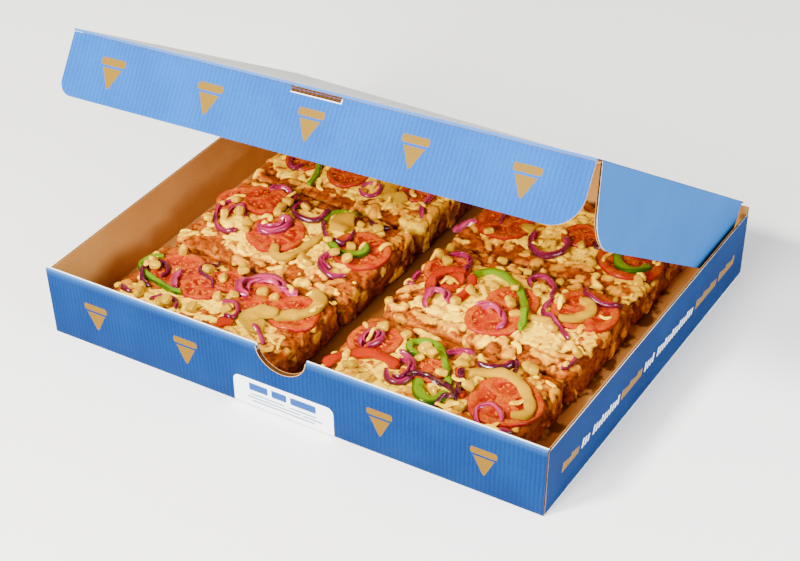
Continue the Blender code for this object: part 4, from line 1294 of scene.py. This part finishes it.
# name: how burnt from 0 to 1, width, thickness, and the points of its middle line
ONIONS = {
    "onion_01": (0.80, 4, 4, ((-147, -99), (-148, -90), (-155, -84), (-161, -90), (-162, -100), (-155, -110),
                              (-147, -112))),
    "onion_02": (0.10, 7.5, 4.5, ((-46, -70), (-55, -71), (-62, -64), (-73, -59), (-85, -66), (-90, -77),
                                  (-85, -86), (-76, -88))),
    "onion_03": (0.20, 6, 5, ((-120, -8), (-116, -15), (-107, -12), (-102, -2), (-105, 7), (-114, 7))),
    "onion_04": (0.45, 5, 4, ((-143, 36), (-139, 42), (-131, 44), (-123, 41), (-119, 34), (-126, 30))),
    "onion_05": (0.75, 5.5, 4.5, ((-104, 33), (-111, 34), (-113, 26), (-106, 18), (-96, 15), (-88, 19),
                                  (-86, 29), (-89, 38))),
    "onion_06": (0.72, 4, 4, ((-82, 20), (-75, 9), (-65, 2), (-53, 0), (-52, 9), (-55, 20))),
    "onion_07": (0.55, 4.5, 4, ((-158, 9), (-162, -1), (-160, -12), (-152, -22), (-141, -25), (-134, -20))),
    "onion_08": (0.50, 5.5, 4.5, ((-46, -14), (-54, -15), (-56, -23), (-50, -32), (-40, -36), (-30, -31))),
    "onion_09": (0.28, 5, 4.5, ((25, -97), (21, -88), (25, -79), (32, -80), (34, -89), (30, -97))),
    "onion_10": (0.48, 5, 4.5, ((52, -90), (62, -92), (70, -101), (73, -111), (69, -119), (61, -119),
                                (55, -112))),
    "onion_11": (0.85, 5.5, 5, ((105, -73), (115, -72), (122, -68), (126, -60))),
    "onion_12": (0.90, 4.5, 4.5, ((73, -114), (78, -107), (88, -106), (99, -108), (108, -112), (113, -118))),
    "onion_13": (0.22, 6, 4.5, ((52, -25), (49, -17), (42, -14), (36, -19), (37, -29), (42, -36))),
    "onion_14": (0.18, 5.5, 4, ((72, -18), (81, -13), (91, -17), (99, -27), (98, -35))),
    "onion_15": (0.42, 4.5, 4, ((94, 24), (89, 31), (90, 38), (97, 41), (105, 36), (110, 28), (111, 20))),
    "onion_16": (0.40, 4.5, 4, ((117, 16), (115, 6), (118, -2), (128, -6), (138, -13), (147, -19))),
    "onion_17": (0.55, 4.5, 4, ((131, 38), (135, 31), (146, 27), (157, 30), (160, 37))),
    "onion_18": (0.60, 6.5, 5, ((65, 86), (67, 74), (75, 65), (86, 63), (93, 72), (92, 83), (87, 88))),
    "leaf_01": (0.80, 3, 3, ((-122, -60), (-119, -66), (-125, -70), (-126, -79), (-118, -84), (-108, -88),
                             (-103, -95))),
    "leaf_02": (0.55, 4, 3.5, ((-137, -126), (-132, -119), (-125, -116), (-117, -120), (-113, -127))),
    "leaf_03": (0.50, 5, 4, ((24, 28), (30, 33), (38, 31), (44, 23), (44, 13))),
    "leaf_04": (0.10, 6, 4, ((-138, -85), (-135, -97), (-128, -105))),
    "leaf_05": (0.50, 4, 3.5, ((-90, -102), (-80, -101), (-72, -108), (-70, -117), (-76, -118))),
    "leaf_06": (0.55, 5, 3.5, ((-165, -121), (-160, -124), (-154, -125))),
    "leaf_07": (0.30, 5, 3.5, ((-50, -120), (-43, -123), (-36, -128))),
    "leaf_08": (0.45, 4, 3.5, ((-151, -10), (-152, 0), (-147, 5), (-139, -3), (-132, -8))),
    "leaf_09": (0.95, 5, 4, ((-52, 38), (-45, 35), (-36, 40))),
    "leaf_10": (0.55, 6, 4, ((82, -76), (84, -69), (92, -65), (98, -67))),
    "leaf_11": (0.90, 4, 3.5, ((126, -58), (131, -66), (132, -73))),
    "leaf_12": (0.95, 6, 4, ((103, -91), (107, -100), (113, -112))),
    "leaf_13": (0.15, 4, 3.5, ((150, -122), (145, -114), (136, -110), (130, -117), (134, -127), (140, -132))),
    "leaf_14": (0.55, 5, 3.5, ((150, -129), (155, -128), (160, -126))),
    "leaf_15": (0.85, 4, 3.5, ((104, -130), (106, -120), (112, -117))),
    "leaf_16": (0.60, 5, 3.5, ((156, -28), (160, -35), (161, -44), (157, -51))),
    "leaf_17": (0.50, 6, 3.5, ((14, 2), (13.5, -3), (14, -8))),
    "leaf_18": (0.15, 6, 3.5, ((13, -12), (15, -15), (19, -16))),
    "leaf_19": (0.40, 4, 3.5, ((-155, 85), (-150, 75), (-144, 72), (-141, 80))),
    "leaf_20": (0.25, 4, 3.5, ((-85, 77), (-82, 84), (-75, 85), (-69, 80), (-70, 72), (-77, 69), (-84, 73))),
    "leaf_21": (0.12, 5, 4, ((-29, 92), (-28, 75), (-22, 65))),
    "leaf_22": (0.10, 7, 4, ((5, 65), (10, 72), (18, 78))),
    "leaf_23": (0.70, 5, 3.5, ((32, 98), (34, 90), (36, 83))),
    "leaf_24": (0.90, 5, 3.5, ((108, 96), (112, 92), (117, 90))),
}


def onion_finish():
    """Onion leaf: pale along the middle of the strip and magenta at its skins, darker where burnt."""
    finish = Finish("baked_red_onion", Subsurface_Weight=0.2, Subsurface_Scale=0.003,
                    Subsurface_Radius=(1.0, 0.2, 0.5), Coat_Weight=0.18, Coat_Roughness=0.08)
    cloud, fine = finish.noise(5 * MM, 3, 0.5), finish.noise(1.2 * MM, 3, 0.6)
    at_skin = finish.span(finish.mark("side"), -0.10, 0.75)
    pink = finish.mix(at_skin, (0.350, 0.018, 0.085), (0.180, 0.002, 0.036))
    magenta = finish.mix(at_skin, (0.225, 0.004, 0.048), (0.085, 0.001, 0.016))
    dark = finish.fade(cloud, 0.45, 0.7, (0.026, 0.001, 0.007), (0.081, 0.002, 0.024))
    heat = finish.plus(finish.mark("burnt"), finish.math('SUBTRACT', cloud, 0.5), 0.6)
    colour = finish.fade(heat, 0.18, 0.45, pink, magenta)
    finish.feed("Base Color", finish.fade(heat, 0.60, 0.88, colour, dark))
    finish.feed("Roughness", finish.span(cloud, 0.3, 0.7, 0.12, 0.30))
    finish.bump(fine, 0.2 * MM, 0.4)
    return finish.material


def nested(points, share):
    """The line of the next leaf in, a little shorter and closer to the middle of the bend."""
    middle = np.mean(points, axis=0)
    return [tuple(middle + (np.array(point) - middle) * share) for point in points[:-1]]


leaf = onion_finish()
for order, (node, (burnt, width, thickness, points)) in enumerate(ONIONS.items()):
    layers = [(node, width, thickness, points, burnt)]
    if len(points) > 4 and width >= 5 and burnt < 0.6:
        layers.append(("inner_" + node, width * 0.5, thickness * 0.9, nested(points, 0.66), burnt))
    for name, wide, thick, line, heat in layers:
        spots, faces, marks = laid_strip(line, wide * MM, thick * MM, 500 + order, around=14, square=0.75,
                                         taper=0.35, twist=0.35, hollow=0.45)
        marks["burnt"] = [heat] * len(spots)
        piece = turn_outward(add_piece("onion_leaf_" + name, spots, faces, leaf, "box", marks=marks))
        if name in frame["nodes"]:
            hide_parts(name)

# ---- Sweetcorn ---------------------------------------------------------------------
# Loose kernels scattered after the cheese: plump yellow teeth about 8 mm long with a
# paler root end, each tipped its own way.

KERNELS = (                 # where they lie, in millimetres
    (-150, -67), (-100, -61), (-96, -66), (-120, -76), (-103, -82), (-71, -78), (-58, -82), (-95, -100),
    (-84, -95), (-80, -111), (-103, -120), (-152, -117), (-148, -124), (-128, -125), (-122, -125),
    (-162, -88), (-157, -92), (-161, -20), (-152, -12), (-145, -2), (-155, 8), (-142, -6), (-130, -12),
    (-127, -20), (-104, 28), (-120, 27), (-120, 18), (-116, 8), (-62, -5), (-45, 0), (-70, -28),
    (-62, -33), (-47, -20), (-38, -16), (-54, 28), (-40, 30), (28, -73), (47, -72), (66, -77),
    (72, -84), (70, -92), (76, -86), (95, -73), (97, -81), (92, -101), (95, -116), (114, -103),
    (118, -122), (136, -60), (142, -62), (30, -122), (35, -124), (48, -128), (19, 37), (26, 20),
    (60, 42), (13, -40), (42, -4), (57, -22), (62, -8), (66, 1), (72, 10), (88, 10), (92, -5),
    (96, -10), (103, 17), (107, 42), (82, 40), (122, 14), (127, -12), (132, -16), (161, -35), (18, 22),
    (34, 68), (78, 77), (103, 85), (118, 70), (158, 67),
)
KERNEL = (4.3 * MM, 3.7 * MM, 3.0 * MM)     # half length, half width, half thickness
KERNEL_SINK = 1.5 * MM
KERNEL_RINGS, KERNEL_AROUND = 9, 12         # rings along it, and points on each

points, faces, roots, tones = [], [], [], []
pick = np.random.default_rng(77)
for x, y in KERNELS:
    size = pick.uniform(0.86, 1.12)
    yaw, tip, lean = pick.uniform(0, 6.28), pick.normal(0, 0.45), pick.normal(0, 0.35)
    turn = Matrix.Rotation(yaw, 3, 'Z') @ Matrix.Rotation(tip, 3, 'Y') @ Matrix.Rotation(lean, 3, 'X')
    shape = []
    for r in range(KERNEL_RINGS):
        u = -math.cos(math.pi * (r + 0.5) / KERNEL_RINGS)
        girth = max(0.05, 1 - abs(u) ** 5) ** 0.5 * (0.86 + 0.16 * u)
        for k in range(KERNEL_AROUND):
            t = 2 * math.pi * k / KERNEL_AROUND
            v, w = math.cos(t), math.sin(t)
            dent = 1 - 0.14 * max(0, u) * (1 if w > 0 else 0.4) * w * w
            shape.append((u * KERNEL[0], girth * KERNEL[1] * math.copysign(abs(v) ** 0.50, v),
                          girth * KERNEL[2] * math.copysign(abs(w) ** 0.52, w) * dent))
    shape = np.array(shape) * size @ np.array(turn).T
    rest = float(relief.under([x * MM], [y * MM], 1.6 * MM)[0])
    shape += np.array((x * MM, y * MM, rest - shape[:, 2].min() - KERNEL_SINK))
    start = len(points)
    points += [tuple(point) for point in shape]
    roots += [max(0, math.cos(math.pi * (r + 0.5) / KERNEL_RINGS))
              for r in range(KERNEL_RINGS) for _ in range(KERNEL_AROUND)]
    tones += [float(pick.uniform())] * (KERNEL_RINGS * KERNEL_AROUND)
    faces += tube_faces(KERNEL_RINGS, KERNEL_AROUND, start)
    relief.add(shape)

corn = Finish("sweetcorn_skin", Subsurface_Weight=0.22, Subsurface_Scale=0.004,
              Subsurface_Radius=(1.0, 0.6, 0.1), Specular_IOR_Level=0.5, Specular_Tint=(1.0, 0.72, 0.0))
colour = corn.mix(corn.mark("tone"), (0.390, 0.209, 0.000), (0.480, 0.258, 0.000))
colour = corn.fade(corn.mark("root"), 0.55, 1.0, colour, (0.640, 0.390, 0.001), 0.7)
colour = corn.fade(corn.noise(3 * MM), 0.56, 0.75, colour, (0.267, 0.089, 0.001), 0.6)
corn.feed("Base Color", colour)
corn.feed("Roughness", corn.span(corn.noise(2 * MM), 0.3, 0.7, 0.10, 0.24))
kernels = add_piece("sweetcorn_kernels", points, faces, corn.material, "box",
                    marks={"root": roots, "tone": tones})
turn_outward(kernels)

# ---- Loose cheese ------------------------------------------------------------------
# Strands of the same grated cheese that fell across the toppings and over the slices'
# edges, softened but still whole, and a few crumbs on the card in the gap and margin.

LOOSE_STRANDS = 84
FALLEN_CRUMBS = 70


class Scatter:
    """Gathers many small closed pieces into one mesh."""

    def __init__(self):
        self.points, self.faces, self.marks = [], [], {"cheese": [], "toast": [], "hollow": []}

    def strand(self, line, width, height, cheese, toast, sink, around=8):
        """A rounded strand along a line, lying on what is under it."""
        line = np.asarray(line)
        ways = np.gradient(line, axis=0)
        ways /= np.maximum(np.linalg.norm(ways, axis=1, keepdims=True), 1e-9)
        sides = np.stack([-ways[:, 1], ways[:, 0]], -1)
        rest = relief.under(line[:, 0], line[:, 1], 0.8 * MM)
        if len(rest) > 4:
            rest = np.convolve(np.pad(rest, 1, mode='edge'), (0.25, 0.5, 0.25), 'valid')
        start, count = len(self.points), len(line)
        for i in range(count):
            full = math.sqrt(min(1.0, (min(i, count - 1 - i) + 0.25) / 1.6))
            for k in range(around):
                t = 2 * math.pi * k / around
                spot = line[i] + sides[i] * width * full * math.cos(t)
                level = rest[i] - sink + height * (0.5 + 0.5 * full * math.sin(t))
                self.points.append((*spot, level))
        self.faces += tube_faces(count, around, start)
        # each strand carries a hollow mark of 0.3: a little of the painted recess shade, which here only
        # deepens the browning
        for mark, value in (("cheese", cheese), ("toast", toast), ("hollow", 0.3)):
            self.marks[mark] += [value] * (count * around)
        relief.add(self.points[start:])


loose, pick = Scatter(), np.random.default_rng(9)
beds = [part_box("slice_" + node) for node in SLICES]
for order in range(LOOSE_STRANDS):
    low, high = beds[order % len(beds)]
    x = low.x + 4 * MM + (high.x - low.x - 8 * MM) * pick.beta(0.35, 0.35)      # most near the edges
    y = low.y + 4 * MM + (high.y - low.y - 8 * MM) * pick.beta(0.7, 0.7)
    turn, bend, line = pick.uniform(0, 2 * math.pi), pick.normal(0, 0.15), []
    for _ in range(int(pick.uniform(5, 13))):
        line.append((x, y))
        turn += bend
        x = min(max(x + math.cos(turn) * STRAND_STEP, low.x + 3 * MM), high.x - 3 * MM)
        y = min(max(y + math.sin(turn) * STRAND_STEP, low.y + 3 * MM), high.y - 3 * MM)
    width, height, toast = pick.uniform(1.1, 2.3), pick.uniform(1.7, 2.5), pick.uniform(0.05, 0.45)
    loose.strand(line, width * MM, height * MM, 1.0, toast, 0.8 * MM)
melted = add_piece("loose_cheese_strands", loose.points, loose.faces, baked, "box", marks=loose.marks)
turn_outward(melted)

fallen = Scatter()
for order in range(FALLEN_CRUMBS):
    if order % 3:
        x, y = pick.uniform(-7, 7) * MM, pick.uniform(-140, 100) * MM
    else:
        x, y = pick.uniform(182, 194) * MM, pick.uniform(-140, 120) * MM
    size, turn = pick.uniform(0.5, 1.5) * MM, pick.uniform(0, math.pi)
    way = np.array((math.cos(turn), math.sin(turn))) * size
    line = [np.array((x, y)) + way * t for t in (-1, -0.4, 0.3, 1)]
    fallen.strand(line, size * 0.8, size * 1.1, pick.choice((0.0, 1.0)), pick.uniform(0.2, 0.8), 0.1 * MM, 6)
crumbs = add_piece("fallen_crumbs", fallen.points, fallen.faces, baked, "box", marks=fallen.marks)
turn_outward(crumbs)
